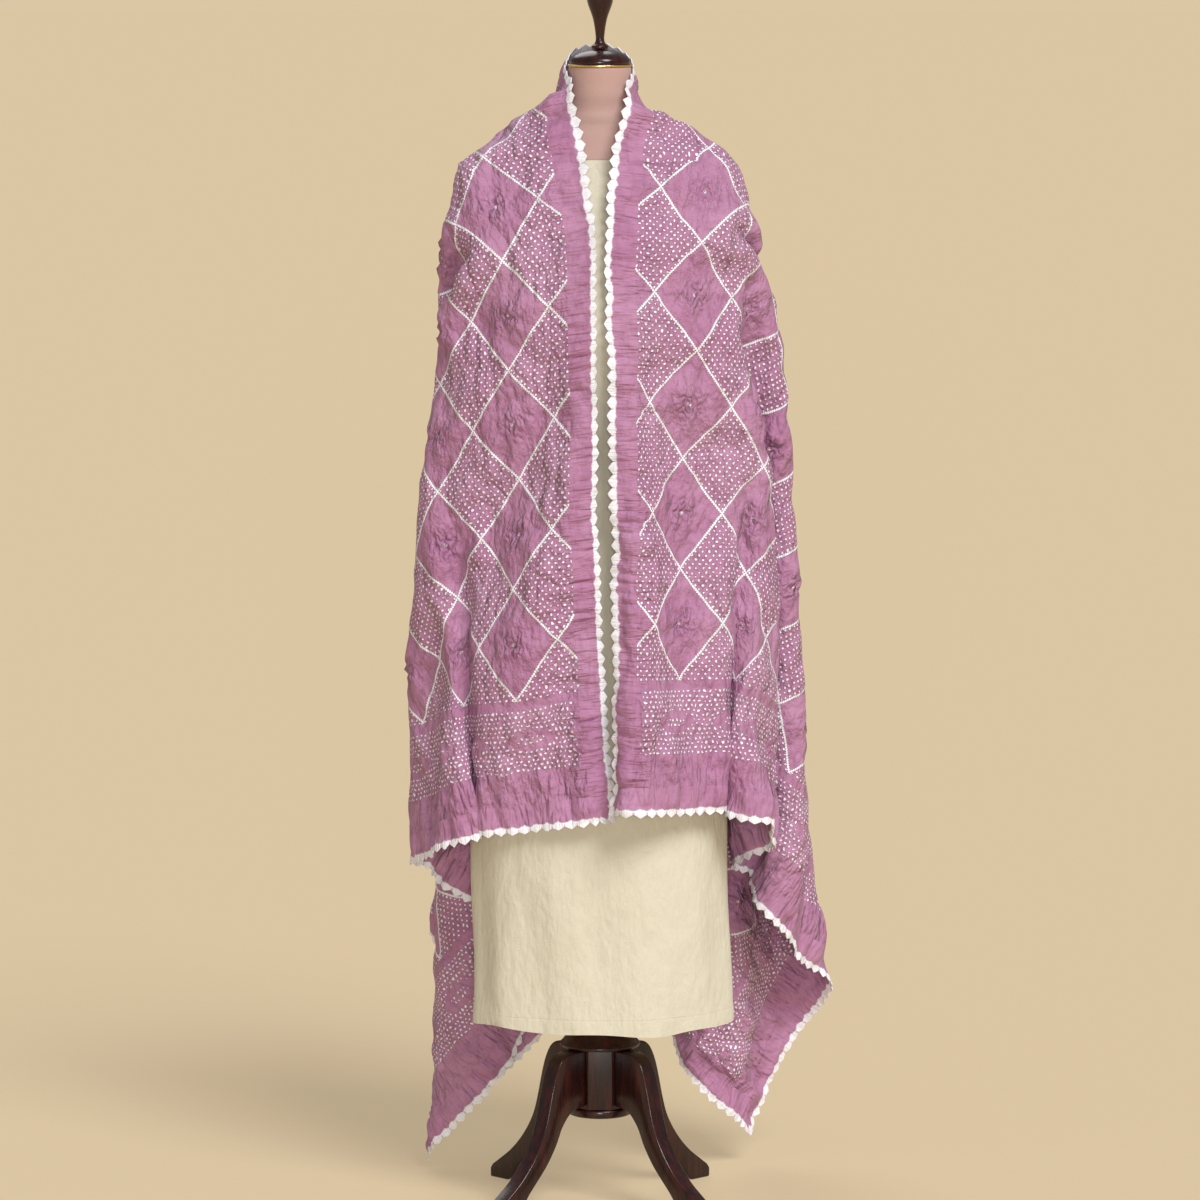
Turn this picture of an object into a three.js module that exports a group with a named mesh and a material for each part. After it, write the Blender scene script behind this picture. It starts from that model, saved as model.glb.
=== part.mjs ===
// A bandhani shawl draped on a dress form with a turned wooden stand.
// Millimetres, +Z up, the form facing -Y. The sizes below are given from the form's axis on the
// floor, and the finished part is then moved so that its box is centred over the origin.
// The shawl is one flat rectangle of cloth. It starts folded in half over the shoulders and is
// then let fall on the form, so that its folds are those of a sheet that does not stretch.

import * as THREE from 'three';
import { mergeVertices } from 'three/addons/utils/BufferGeometryUtils.js';

// Driving dimensions of the cloth.
const CLOTH = {
  length: 2290, // along the selvedges, from hem to hem
  width: 1235, // from the collar selvedge to the outer selvedge
  thickness: 2,
  leftExtra: 5, // how much farther the left hem is from the nape than half the length
  cellsAlong: 74,
  cellsAcross: 37,
};

// Driving dimensions of the dress form and its stand.
const FORM = {
  hemZ: 236,
  necklineZ: 1426,
  ringZ: 1549,
  sides: 48,
  gap: 0.3, // between pieces that are fitted together
};
const RING = { radius: 43.5, height: 3 };
const CAP = { radius: 41, height: 20, rim: 3 };
const POST = { radius: 43, flats: 8, bottomZ: 129, topZ: 212.7 };
const FOOT_DISC = { radius: 44, bottomZ: 118, edge: 3 };
const LEG = { count: 4, thickness: 24, firstAngle: Math.PI / 4, curveSteps: 7 };

// Sections of the dress form, from the skirt's hem up to the neck ring.
// z, half width, half depth, and the section's centre in Y.
const FORM_SECTIONS = [
  { z: 236, halfWidth: 178, halfDepth: 118, y: 0 },
  { z: 500, halfWidth: 176, halfDepth: 120, y: 0 },
  { z: 800, halfWidth: 170, halfDepth: 118, y: 0 },
  { z: 1020, halfWidth: 150, halfDepth: 108, y: 0 },
  { z: 1200, halfWidth: 158, halfDepth: 116, y: -10 },
  { z: 1300, halfWidth: 176, halfDepth: 104, y: -2 },
  { z: 1360, halfWidth: 192, halfDepth: 86, y: 4 },
  { z: 1400, halfWidth: 190, halfDepth: 70, y: 8 },
  { z: 1426, halfWidth: 168, halfDepth: 58, y: 10 },
  { z: 1455, halfWidth: 104, halfDepth: 51, y: 10 },
  { z: 1482, halfWidth: 58, halfDepth: 47, y: 8 },
  { z: 1512, halfWidth: 46, halfDepth: 44, y: 4 },
  { z: 1549, halfWidth: 42, halfDepth: 42, y: 0 },
];

// Profile of the turned finial, from its flange up: radius at each height above the cap.
const FINIAL = [
  { radius: 11.5, rise: 0 },
  { radius: 11.5, rise: 4 },
  { radius: 6.5, rise: 9 },
  { radius: 6, rise: 18 },
  { radius: 9.5, rise: 40 },
  { radius: 16.5, rise: 60 },
  { radius: 17.5, rise: 70 },
  { radius: 14, rise: 84 },
  { radius: 6, rise: 93 },
];

// Profile of the bell-shaped collar under the form, from its lower face up.
const BELL = [
  { radius: 53.5, z: 213 },
  { radius: 55, z: 214.5 },
  { radius: 55, z: 217.5 },
  { radius: 52.5, z: 220 },
  { radius: 47, z: 227 },
  { radius: 43, z: 235.7 },
];

// The curved leg, seen from the side: its upper edge from the post to the toe, and its lower
// edge from the heel back to the post. r is the distance from the post's flat.
const LEG_TOP = [
  { r: 0, z: 212.4 },
  { r: 30, z: 211 },
  { r: 44, z: 204 },
  { r: 54, z: 188 },
  { r: 62, z: 164 },
  { r: 70, z: 132 },
  { r: 80, z: 102 },
  { r: 98, z: 73 },
  { r: 122, z: 47 },
  { r: 150, z: 26 },
  { r: 160, z: 19 },
];
const LEG_TOE = { r: 165, z: 12 };
const LEG_BOTTOM = [
  { r: 130, z: 0 },
  { r: 106, z: 28 },
  { r: 74, z: 61 },
  { r: 55, z: 88 },
  { r: 44, z: 110 },
  { r: 26, z: 129 },
  { r: 0, z: 135 },
];

// Where the collar selvedge is pinned to the form, from the nape round the neck and down the
// front: the distance from the centre line and the Y, on each side.
const COLLAR = [
  { left: 0, leftY: 64, right: 0, rightY: 64, z: 1582 },
  { left: 30, leftY: 58, right: 30, rightY: 58, z: 1576 },
  { left: 51, leftY: 30, right: 52, rightY: 30, z: 1562 },
  { left: 52, leftY: -10, right: 53, rightY: -10, z: 1545 },
  { left: 42, leftY: -46, right: 43, rightY: -46, z: 1522 },
  { left: 36, leftY: -60, right: 35, rightY: -60, z: 1490 },
  { left: 27, leftY: -76, right: 21, rightY: -76, z: 1440 },
  { left: 14, leftY: -106, right: 14, rightY: -106, z: 1365 },
  { left: 7, leftY: -124, right: 9, rightY: -124, z: 1300 },
  { left: 6, leftY: -136, right: 10, rightY: -138, z: 1220 },
  { left: 5, leftY: -140, right: 14, rightY: -144, z: 1100 },
  { left: -2, leftY: -136, right: 18, rightY: -144, z: 900 },
  { left: -12, leftY: -132, right: 20, rightY: -150, z: 700 },
  { left: -18, leftY: -130, right: 16, rightY: -158, z: 530 },
  { left: -18, leftY: -130, right: 16, rightY: -158, z: 300 },
];

// The front panel hangs straight from the shoulder along this line of the cloth.
const PANEL = {
  across: 190, // distance from the collar selvedge
  fromAlong: { left: 244, right: 284 }, // distance from the nape, where it leaves the shoulder
};
const PANEL_LINE = [
  { x: 202, y: -30, z: 1410 },
  { x: 196, y: -70, z: 1335 },
  { x: 186, y: -92, z: 1220 },
  { x: 176, y: -102, z: 1000 },
  { x: 172, y: -108, z: 700 },
  { x: 170, y: -110, z: 300 },
];

// The shoulder tip, on the cloth and in space, from which the side folds fan out.
const SHOULDER = { along: 235, across: 190, x: 200, y: -5 };

// The side folds. Each runs from the shoulder tip to a point of the hem or of the outer
// selvedge, given on the cloth, and hangs at x, y there.
const FOLDS = {
  left: [
    { name: 'valley', along: 1150, across: 232, x: 172, y: -40 },
    { name: 'front ridge', along: 1150, across: 300, x: 198, y: -90 },
    { name: 'side ridge', along: 1150, across: 540, x: 226, y: 102 },
    { name: 'inner fold', along: 1150, across: 790, x: 60, y: 165 },
    { name: 'tip', along: 1150, across: 1235, x: 236, y: 190 },
    { name: 'back fold', along: 900, across: 1235, x: 80, y: 240 },
    { name: 'back ridge', along: 680, across: 1235, x: 215, y: 290 },
    { name: 'back valley', along: 440, across: 1235, x: 70, y: 270 },
  ],
  right: [
    { name: 'valley', along: 1140, across: 236, x: 182, y: -40 },
    { name: 'front ridge', along: 1140, across: 310, x: 204, y: -100 },
    { name: 'side ridge', along: 1140, across: 500, x: 229, y: 70 },
    { name: 'inner fold', along: 1140, across: 600, x: 192, y: 110 },
    { name: 'outer ridge', along: 1140, across: 885, x: 285, y: 190 },
    { name: 'tip', along: 1140, across: 1235, x: 215, y: 230 },
    { name: 'back fold', along: 900, across: 1235, x: 90, y: 250 },
    { name: 'back ridge', along: 680, across: 1235, x: 215, y: 300 },
    { name: 'back valley', along: 440, across: 1235, x: 70, y: 275 },
  ],
};

// How the sheet is let fall.
const FALL = {
  bendRadius: 125, // of the first fold over each shoulder
  bendStart: 50, // half the straight nape between the two folds
  startZ: 1600,
  frames: 170,
  carryFrames: 45, // frames in which the pinned lines reach their places
  substeps: 12,
  frame: 1 / 60, // seconds
  gravity: 9810,
  drag: 0.9985, // speed kept in each substep
  shearGive: 8,
  bendGive: 1500,
  pinnedAlong: 560, // the collar selvedge is held fast this far from the nape
  guideHold: 0.02, // share of the way back to its line that a guided point moves
  foldHold: 0.02,
  foldFrom: 150, // distance from the shoulder tip at which the folds begin
  clearance: 9, // from the form to the middle of the cloth
  restGap: 0.6, // between the settled cloth and the form, where they are nearest
  farRatio: 1.3, // beyond this multiple of a section a point can't be near the form
  layerGap: 18, // between the middles of two layers
  grip: 0.4, // share of its sliding that a point on the form loses
};

// Straight-line reading of one column of a table, by its z.
function readSection(z, column) {
  const rows = FORM_SECTIONS;
  let k = 0;
  while (k < rows.length - 2 && rows[k + 1].z < z) k += 1;
  const share = THREE.MathUtils.clamp((z - rows[k].z) / (rows[k + 1].z - rows[k].z), 0, 1);
  return THREE.MathUtils.lerp(rows[k][column], rows[k + 1][column], share);
}

// A smooth curve through points, as a function of the distance along it.
function routeThrough(points) {
  const curve = new THREE.CatmullRomCurve3(points, false, 'centripetal');
  const total = curve.getLength();
  return (distance) => curve.getPointAt(THREE.MathUtils.clamp(distance / total, 0, 1));
}

// How far outside the form's elliptical section a point is, as a ratio of the section's size.
function sectionRatio(x, y, z) {
  const u = x / readSection(z, 'halfWidth');
  const v = (y - readSection(z, 'y')) / readSection(z, 'halfDepth');
  return Math.hypot(u, v);
}

// Distance of a point outside the form; fills in the direction to leave it by.
function formDistance(x, y, z, away) {
  const step = 2;
  const ratio = sectionRatio(x, y, z);
  if (ratio > FALL.farRatio) return Infinity;
  const gx = (sectionRatio(x + step, y, z) - ratio) / step;
  const gy = (sectionRatio(x, y + step, z) - ratio) / step;
  const gz = (sectionRatio(x, y, z + step) - ratio) / step;
  const steep = Math.hypot(gx, gy, gz);
  away[0] = gx / steep;
  away[1] = gy / steep;
  away[2] = gz / steep;
  return (ratio - 1) / steep;
}

// The cloth before it falls: a flat back, a slanting bend over each shoulder, two flat fronts.
function foldedPlace(along, across) {
  const { bendRadius, bendStart, startZ } = FALL;
  const side = along < 0 ? -1 : 1;
  const out = Math.abs(along) - bendStart;
  const over = (out - across) / Math.SQRT2;
  const down = (out + across) / Math.SQRT2;
  const turn = THREE.MathUtils.clamp(over / bendRadius, 0, Math.PI);
  let rise = bendRadius * Math.sin(turn);
  if (over < 0) rise = over;
  if (over > Math.PI * bendRadius) rise = Math.PI * bendRadius - over;
  const x = bendStart + (down + rise) / Math.SQRT2;
  const z = startZ + (rise - down) / Math.SQRT2;
  return [side * x, bendRadius * Math.cos(turn), z];
}

// The cloth as a grid of points with links, which falls on the form frame by frame.
class FallingSheet {
  constructor() {
    this.columns = CLOTH.cellsAlong + 1;
    this.rows = CLOTH.cellsAcross + 1;
    this.count = this.columns * this.rows;
    this.stepAlong = CLOTH.length / CLOTH.cellsAlong;
    this.stepAcross = CLOTH.width / CLOTH.cellsAcross;
    this.place = new Float64Array(3 * this.count);
    this.last = new Float64Array(3 * this.count);
    this.speed = new Float64Array(3 * this.count);
    this.loose = new Uint8Array(this.count).fill(1);
    this.eachPoint((k, along, across) => this.place.set(foldedPlace(along, across), 3 * k));
    this.holds = [...this.pinCollar(), ...this.guidePanels(), ...this.guideFolds()];
    this.links = this.tieLinks();
    this.spots = this.listSpots();
    this.spotPlace = new Float64Array(3 * this.spots.length);
  }

  index(i, j) {
    return i * this.rows + j;
  }

  // Calls back with each point's number and its signed distances on the flat cloth.
  eachPoint(visit) {
    for (let i = 0; i < this.columns; i += 1) {
      const along = i * this.stepAlong - CLOTH.length / 2 - CLOTH.leftExtra;
      for (let j = 0; j < this.rows; j += 1) visit(this.index(i, j), along, j * this.stepAcross);
    }
  }

  // A point that is drawn to a place; axes is how many of x, y, z are drawn.
  hold(k, to, share, axes) {
    return { k, from: Array.from(this.place.slice(3 * k, 3 * k + 3)), to, share, axes };
  }

  pinCollar() {
    const routes = [
      routeThrough(COLLAR.map((p) => new THREE.Vector3(-p.left, p.leftY, p.z))),
      routeThrough(COLLAR.map((p) => new THREE.Vector3(p.right, p.rightY, p.z))),
    ];
    const holds = [];
    this.eachPoint((k, along, across) => {
      if (across > 0) return;
      const reach = Math.abs(along);
      const to = routes[along < 0 ? 0 : 1](reach).toArray();
      const pinned = reach <= FALL.pinnedAlong;
      if (pinned) this.loose[k] = 0;
      holds.push(this.hold(k, to, pinned ? 1 : FALL.guideHold, 3));
    });
    return holds;
  }

  guidePanels() {
    const route = routeThrough(PANEL_LINE.map((p) => new THREE.Vector3(p.x, p.y, p.z)));
    const holds = [];
    this.eachPoint((k, along, across) => {
      const from = along < 0 ? PANEL.fromAlong.left : PANEL.fromAlong.right;
      const reach = Math.abs(along) - from;
      if (reach < 0 || Math.abs(across - PANEL.across) > this.stepAcross / 2) return;
      const to = route(reach).toArray();
      if (along < 0) to[0] *= -1;
      holds.push(this.hold(k, to, FALL.guideHold, 3));
    });
    return holds;
  }

  guideFolds() {
    const holds = [];
    this.eachPoint((k, along, across) => {
      const side = along < 0 ? -1 : 1;
      const ds = Math.abs(along) - SHOULDER.along;
      const dt = across - SHOULDER.across;
      for (const fold of side < 0 ? FOLDS.left : FOLDS.right) {
        const fs = fold.along - SHOULDER.along;
        const ft = fold.across - SHOULDER.across;
        const length = Math.hypot(fs, ft);
        const reach = (ds * fs + dt * ft) / length;
        const off = Math.abs(ds * ft - dt * fs) / length;
        if (reach < FALL.foldFrom || off > 0.55 * this.stepAcross) continue;
        const x = THREE.MathUtils.lerp(SHOULDER.x, fold.x, reach / length);
        const y = THREE.MathUtils.lerp(SHOULDER.y, fold.y, reach / length);
        holds.push(this.hold(k, [side * x, y, 0], FALL.foldHold, 2));
      }
    });
    return holds;
  }

  // Links that keep the cloth's lengths, its squareness and, weakly, its flatness.
  tieLinks() {
    const links = [];
    const kinds = [
      { i: 1, j: 0, give: 0 },
      { i: 0, j: 1, give: 0 },
      { i: 1, j: 1, give: FALL.shearGive },
      { i: 1, j: -1, give: FALL.shearGive },
      { i: 2, j: 0, give: FALL.bendGive },
      { i: 0, j: 2, give: FALL.bendGive },
    ];
    for (let i = 0; i < this.columns; i += 1) {
      for (let j = 0; j < this.rows; j += 1) {
        for (const kind of kinds) {
          const toI = i + kind.i;
          const toJ = j + kind.j;
          if (toI >= this.columns || toJ < 0 || toJ >= this.rows) continue;
          const rest = Math.hypot(kind.i * this.stepAlong, kind.j * this.stepAcross);
          links.push({ a: this.index(i, j), b: this.index(toI, toJ), rest, give: kind.give });
        }
      }
    }
    return links;
  }

  // Spots that keep the layers apart: the points of the grid and the middles of its cells.
  listSpots() {
    const spots = [];
    for (let i = 0; i < this.columns; i += 1) {
      for (let j = 0; j < this.rows; j += 1) spots.push({ i, j, points: [this.index(i, j)] });
    }
    for (let i = 0; i < this.columns - 1; i += 1) {
      for (let j = 0; j < this.rows - 1; j += 1) {
        const points = [this.index(i, j), this.index(i + 1, j)];
        points.push(this.index(i, j + 1), this.index(i + 1, j + 1));
        spots.push({ i: i + 0.5, j: j + 0.5, points });
      }
    }
    return spots;
  }

  placeSpots() {
    this.spots.forEach((spot, n) => {
      for (let c = 0; c < 3; c += 1) {
        let sum = 0;
        for (const k of spot.points) sum += this.place[3 * k + c];
        this.spotPlace[3 * n + c] = sum / spot.points.length;
      }
    });
  }

  moveSpot(n, dx, dy, dz) {
    for (const k of this.spots[n].points) {
      if (!this.loose[k]) continue;
      this.place[3 * k] += dx;
      this.place[3 * k + 1] += dy;
      this.place[3 * k + 2] += dz;
    }
  }

  // Pairs of spots of different layers that are near enough to meet within a frame.
  nearPairs() {
    this.placeSpots();
    const size = FALL.layerGap * 1.5;
    const bins = new Map();
    const pairs = [];
    this.spots.forEach((spot, n) => {
      const [bx, by, bz] = [0, 1, 2].map((c) => Math.floor(this.spotPlace[3 * n + c] / size));
      for (let near = 0; near < 27; near += 1) {
        const ox = bx + (near % 3) - 1;
        const oy = by + (Math.floor(near / 3) % 3) - 1;
        const oz = bz + Math.floor(near / 9) - 1;
        for (const m of bins.get((ox * 4096 + oy) * 4096 + oz) ?? []) {
          const other = this.spots[m];
          if (Math.abs(spot.i - other.i) + Math.abs(spot.j - other.j) > 2.2) pairs.push(n, m);
        }
      }
      const key = (bx * 4096 + by) * 4096 + bz;
      if (!bins.has(key)) bins.set(key, []);
      bins.get(key).push(n);
    });
    return pairs;
  }

  keepLayersApart(pairs) {
    this.placeSpots();
    const at = this.spotPlace;
    for (let n = 0; n < pairs.length; n += 2) {
      const a = pairs[n];
      const b = pairs[n + 1];
      const dx = at[3 * b] - at[3 * a];
      const dy = at[3 * b + 1] - at[3 * a + 1];
      const dz = at[3 * b + 2] - at[3 * a + 2];
      const span = Math.hypot(dx, dy, dz);
      if (span >= FALL.layerGap || span < 1e-6) continue;
      const push = (0.3 * (FALL.layerGap - span)) / span;
      this.moveSpot(a, -dx * push, -dy * push, -dz * push);
      this.moveSpot(b, dx * push, dy * push, dz * push);
    }
  }

  pullLinks() {
    const { place, loose } = this;
    for (const { a, b, rest, give } of this.links) {
      const free = loose[a] + loose[b];
      if (free === 0) continue;
      const dx = place[3 * b] - place[3 * a];
      const dy = place[3 * b + 1] - place[3 * a + 1];
      const dz = place[3 * b + 2] - place[3 * a + 2];
      const span = Math.hypot(dx, dy, dz);
      const move = (span - rest) / span / (free + give);
      const ma = move * loose[a];
      const mb = move * loose[b];
      place[3 * a] += dx * ma;
      place[3 * a + 1] += dy * ma;
      place[3 * a + 2] += dz * ma;
      place[3 * b] -= dx * mb;
      place[3 * b + 1] -= dy * mb;
      place[3 * b + 2] -= dz * mb;
    }
  }

  pullHolds(carried) {
    for (const { k, from, to, share, axes } of this.holds) {
      for (let c = 0; c < axes; c += 1) {
        const goal = THREE.MathUtils.lerp(from[c], to[c], carried);
        this.place[3 * k + c] += (goal - this.place[3 * k + c]) * share;
      }
    }
  }

  keepOffForm() {
    const { place, last } = this;
    const away = [0, 0, 0];
    for (let k = 0; k < this.count; k += 1) {
      const z = place[3 * k + 2];
      if (!this.loose[k] || z < FORM.hemZ || z > FORM.ringZ + 30) continue;
      const deep = FALL.clearance - formDistance(place[3 * k], place[3 * k + 1], z, away);
      if (deep <= 0) continue;
      for (let c = 0; c < 3; c += 1) {
        const slid = place[3 * k + c] - last[3 * k + c];
        place[3 * k + c] += away[c] * deep - slid * FALL.grip;
      }
    }
  }

  fall() {
    const { place, last, speed } = this;
    const dt = FALL.frame / FALL.substeps;
    for (let step = 0; step < FALL.frames * FALL.substeps; step += 1) {
      if (step % FALL.substeps === 0) this.pairs = this.nearPairs();
      last.set(place);
      for (let k = 0; k < this.count; k += 1) {
        if (!this.loose[k]) continue;
        speed[3 * k + 2] -= FALL.gravity * dt;
        for (let c = 0; c < 3; c += 1) place[3 * k + c] += speed[3 * k + c] * dt;
      }
      const carried = step / FALL.substeps / FALL.carryFrames;
      this.pullHolds(THREE.MathUtils.smoothstep(carried, 0, 1));
      this.pullLinks();
      this.keepLayersApart(this.pairs);
      this.keepOffForm();
      for (let n = 0; n < speed.length; n += 1) speed[n] = ((place[n] - last[n]) / dt) * FALL.drag;
    }
    return this;
  }

  // The least distance from the form to the cloth's inner face, with the cloth lowered by a drop.
  restGap(drop) {
    this.placeSpots();
    const away = [0, 0, 0];
    let least = Infinity;
    const test = (x, y, z) => {
      if (z - drop < FORM.hemZ || z - drop > FORM.ringZ) return;
      least = Math.min(least, formDistance(x, y, z - drop, away));
    };
    for (let n = 0; n < this.spots.length; n += 1) {
      test(this.spotPlace[3 * n], this.spotPlace[3 * n + 1], this.spotPlace[3 * n + 2]);
    }
    for (const { a, b, give } of this.links) {
      if (give === FALL.bendGive) continue;
      const mid = [0, 1, 2].map((c) => (this.place[3 * a + c] + this.place[3 * b + c]) / 2);
      test(...mid);
    }
    return least - CLOTH.thickness / 2;
  }

  // Lowers the fallen cloth until it rests on the form's shoulders.
  settle() {
    let [low, high] = [0, FALL.clearance];
    for (let n = 0; n < 20; n += 1) {
      const drop = (low + high) / 2;
      if (this.restGap(drop) > FALL.restGap) low = drop;
      else high = drop;
    }
    for (let k = 0; k < this.count; k += 1) this.place[3 * k + 2] -= low;
    return this;
  }

  point(i, j) {
    return new THREE.Vector3().fromArray(this.place, 3 * this.index(i, j));
  }

  // The cloth's outward direction at a point of the grid.
  normal(i, j) {
    const along = this.point(Math.min(i + 1, this.columns - 1), j);
    along.sub(this.point(Math.max(i - 1, 0), j));
    const across = this.point(i, Math.min(j + 1, this.rows - 1));
    across.sub(this.point(i, Math.max(j - 1, 0)));
    return along.cross(across).normalize();
  }
}

// A closed body from points and triangles, turned to face out.
function closedBody(points, triangles) {
  let volume = 0;
  for (const [a, b, c] of triangles) {
    volume += points[a].dot(new THREE.Vector3().crossVectors(points[b], points[c]));
  }
  const facing = volume > 0 ? triangles : triangles.map(([a, b, c]) => [a, c, b]);
  const geometry = new THREE.BufferGeometry().setFromPoints(points);
  geometry.setIndex(facing.flat());
  geometry.computeVertexNormals();
  return geometry;
}

// The shawl: the fallen sheet given its thickness, with its four edges closed.
function shawlBody() {
  const sheet = new FallingSheet().fall().settle();
  const { columns, rows, count } = sheet;
  const faces = [[], []];
  for (let i = 0; i < columns; i += 1) {
    for (let j = 0; j < rows; j += 1) {
      const half = sheet.normal(i, j).multiplyScalar(CLOTH.thickness / 2);
      faces[0].push(sheet.point(i, j).add(half));
      faces[1].push(sheet.point(i, j).sub(half));
    }
  }
  // Each cell is split along its longer diagonal, which is the one that follows a fold.
  const triangles = [];
  for (let i = 0; i < columns - 1; i += 1) {
    for (let j = 0; j < rows - 1; j += 1) {
      const [a, b] = [sheet.index(i, j), sheet.index(i + 1, j)];
      const [c, d] = [sheet.index(i + 1, j + 1), sheet.index(i, j + 1)];
      const first = sheet.point(i, j).distanceTo(sheet.point(i + 1, j + 1));
      const second = sheet.point(i + 1, j).distanceTo(sheet.point(i, j + 1));
      const split = first > second ? [[a, b, c], [a, c, d]] : [[a, b, d], [b, c, d]];
      for (const [p, q, r] of split) triangles.push([p, q, r], [count + p, count + r, count + q]);
    }
  }
  const rim = [];
  for (let i = 0; i < columns; i += 1) rim.push(sheet.index(i, 0));
  for (let j = 1; j < rows; j += 1) rim.push(sheet.index(columns - 1, j));
  for (let i = columns - 2; i >= 0; i -= 1) rim.push(sheet.index(i, rows - 1));
  for (let j = rows - 2; j > 0; j -= 1) rim.push(sheet.index(0, j));
  rim.forEach((a, n) => {
    const b = rim[(n + 1) % rim.length];
    triangles.push([a, count + a, b], [b, count + a, count + b]);
  });
  return closedBody([...faces[0], ...faces[1]], triangles);
}

// A body skinned over closed rings of points, with a flat cap on each end.
function skinnedBody(rings) {
  const sides = rings[0].length;
  const points = rings.flat();
  const triangles = [];
  for (let r = 0; r < rings.length - 1; r += 1) {
    for (let k = 0; k < sides; k += 1) {
      const next = (k + 1) % sides;
      const [a, b] = [r * sides + k, r * sides + next];
      triangles.push([a, b, b + sides], [a, b + sides, a + sides]);
    }
  }
  const top = (rings.length - 1) * sides;
  for (let k = 1; k < sides - 1; k += 1) {
    triangles.push([0, k + 1, k], [top, top + k, top + k + 1]);
  }
  return closedBody(points, triangles);
}

// One level ring of an elliptical section.
function ring(halfWidth, halfDepth, y, z, sides = FORM.sides, turn = 0) {
  return Array.from({ length: sides }, (_, k) => {
    const angle = (2 * Math.PI * k) / sides + turn;
    return new THREE.Vector3(halfWidth * Math.cos(angle), y + halfDepth * Math.sin(angle), z);
  });
}

// The part of the form between two of its sections; lift raises the lowest ring by a gap.
function formBody(fromZ, toZ, lift, drop) {
  const rows = FORM_SECTIONS.filter((row) => row.z >= fromZ && row.z <= toZ);
  const rings = rows.map((row) => {
    let z = row.z;
    if (row.z === fromZ) z += lift;
    if (row.z === toZ) z -= drop;
    return ring(row.halfWidth, row.halfDepth, row.y, z);
  });
  return skinnedBody(rings);
}

// A round body turned to a profile of radius and height.
function turnedBody(profile, sides = FORM.sides, turn = 0) {
  return skinnedBody(profile.map(({ radius, z }) => ring(radius, radius, 0, z, sides, turn)));
}

function capProfile(z) {
  const profile = [{ radius: CAP.radius, z }];
  const steps = 6;
  for (let k = 0; k < steps; k += 1) {
    const angle = ((Math.PI / 2) * k) / steps;
    const rise = CAP.rim + (CAP.height - CAP.rim) * Math.sin(angle);
    profile.push({ radius: CAP.radius * Math.cos(angle), z: z + rise });
  }
  return profile;
}

// One leg: the side view filled in and given its thickness, standing out from a flat of the post.
function legBody(angle) {
  const curve = (rows) => {
    const spline = new THREE.SplineCurve(rows.map((p) => new THREE.Vector2(p.r, p.z)));
    return spline.getPoints(LEG.curveSteps * 2);
  };
  const shape = new THREE.Shape();
  const edge = [...curve(LEG_TOP), new THREE.Vector2(LEG_TOE.r, LEG_TOE.z)];
  edge.push(new THREE.Vector2(LEG_TOE.r, 0), ...curve(LEG_BOTTOM));
  shape.setFromPoints(edge);
  const solid = new THREE.ExtrudeGeometry(shape, { depth: LEG.thickness, bevelEnabled: false });
  solid.deleteAttribute('normal');
  solid.deleteAttribute('uv');
  const geometry = mergeVertices(solid, 1e-4);
  const flat = POST.radius * Math.cos(Math.PI / POST.flats) + FORM.gap;
  geometry.translate(flat, 0, -LEG.thickness / 2);
  geometry.rotateX(Math.PI / 2);
  geometry.rotateZ(angle);
  geometry.computeVertexNormals();
  return geometry;
}

const FINISH = {
  cloth: { color: '#ad6e96', roughness: 0.85 },
  cover: { color: '#ebe1b9', roughness: 0.9 },
  neck: { color: '#d9b3a3', roughness: 0.8 },
  brass: { color: '#c9a45c', roughness: 0.35, metalness: 1 },
  wood: { color: '#2a1213', roughness: 0.25 },
};

function named(name, geometry, finish) {
  const mesh = new THREE.Mesh(geometry, new THREE.MeshStandardMaterial(FINISH[finish]));
  mesh.name = name;
  return mesh;
}

const part = new THREE.Group();
part.name = 'bandhani_shawl_on_form';

part.add(named('shawl', shawlBody(), 'cloth'));

part.add(named('form_body', formBody(FORM.hemZ, FORM.necklineZ, 0, 0), 'cover'));
part.add(named('form_neck', formBody(FORM.necklineZ, FORM.ringZ, FORM.gap, 0), 'neck'));

const ringZ = FORM.ringZ + FORM.gap;
const ringTop = ringZ + RING.height;
const ringProfile = [ringZ, ringTop].map((z) => ({ radius: RING.radius, z }));
part.add(named('neck_ring', turnedBody(ringProfile), 'brass'));

const capZ = ringTop + FORM.gap;
part.add(named('neck_cap', turnedBody(capProfile(capZ)), 'wood'));

const finialZ = capZ + CAP.height + FORM.gap;
const finialProfile = FINIAL.map(({ radius, rise }) => ({ radius, z: finialZ + rise }));
part.add(named('finial', turnedBody(finialProfile, FORM.sides / 2), 'wood'));

part.add(named('hub_collar', turnedBody(BELL), 'wood'));
const postProfile = [POST.bottomZ, POST.topZ].map((z) => ({ radius: POST.radius, z }));
part.add(named('hub_post', turnedBody(postProfile, POST.flats, Math.PI / POST.flats), 'wood'));

const discTop = POST.bottomZ - FORM.gap;
const discProfile = [
  { radius: FOOT_DISC.radius - FOOT_DISC.edge, z: FOOT_DISC.bottomZ },
  { radius: FOOT_DISC.radius, z: FOOT_DISC.bottomZ + FOOT_DISC.edge },
  { radius: FOOT_DISC.radius, z: discTop },
];
part.add(named('hub_foot', turnedBody(discProfile), 'wood'));

for (let n = 0; n < LEG.count; n += 1) {
  const angle = LEG.firstAngle + (2 * Math.PI * n) / LEG.count;
  part.add(named(`leg_${n + 1}`, legBody(angle), 'wood'));
}

const middle = new THREE.Box3().setFromObject(part).getCenter(new THREE.Vector3());
for (const mesh of part.children) mesh.geometry.translate(-middle.x, -middle.y, 0);

export default part;
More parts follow.
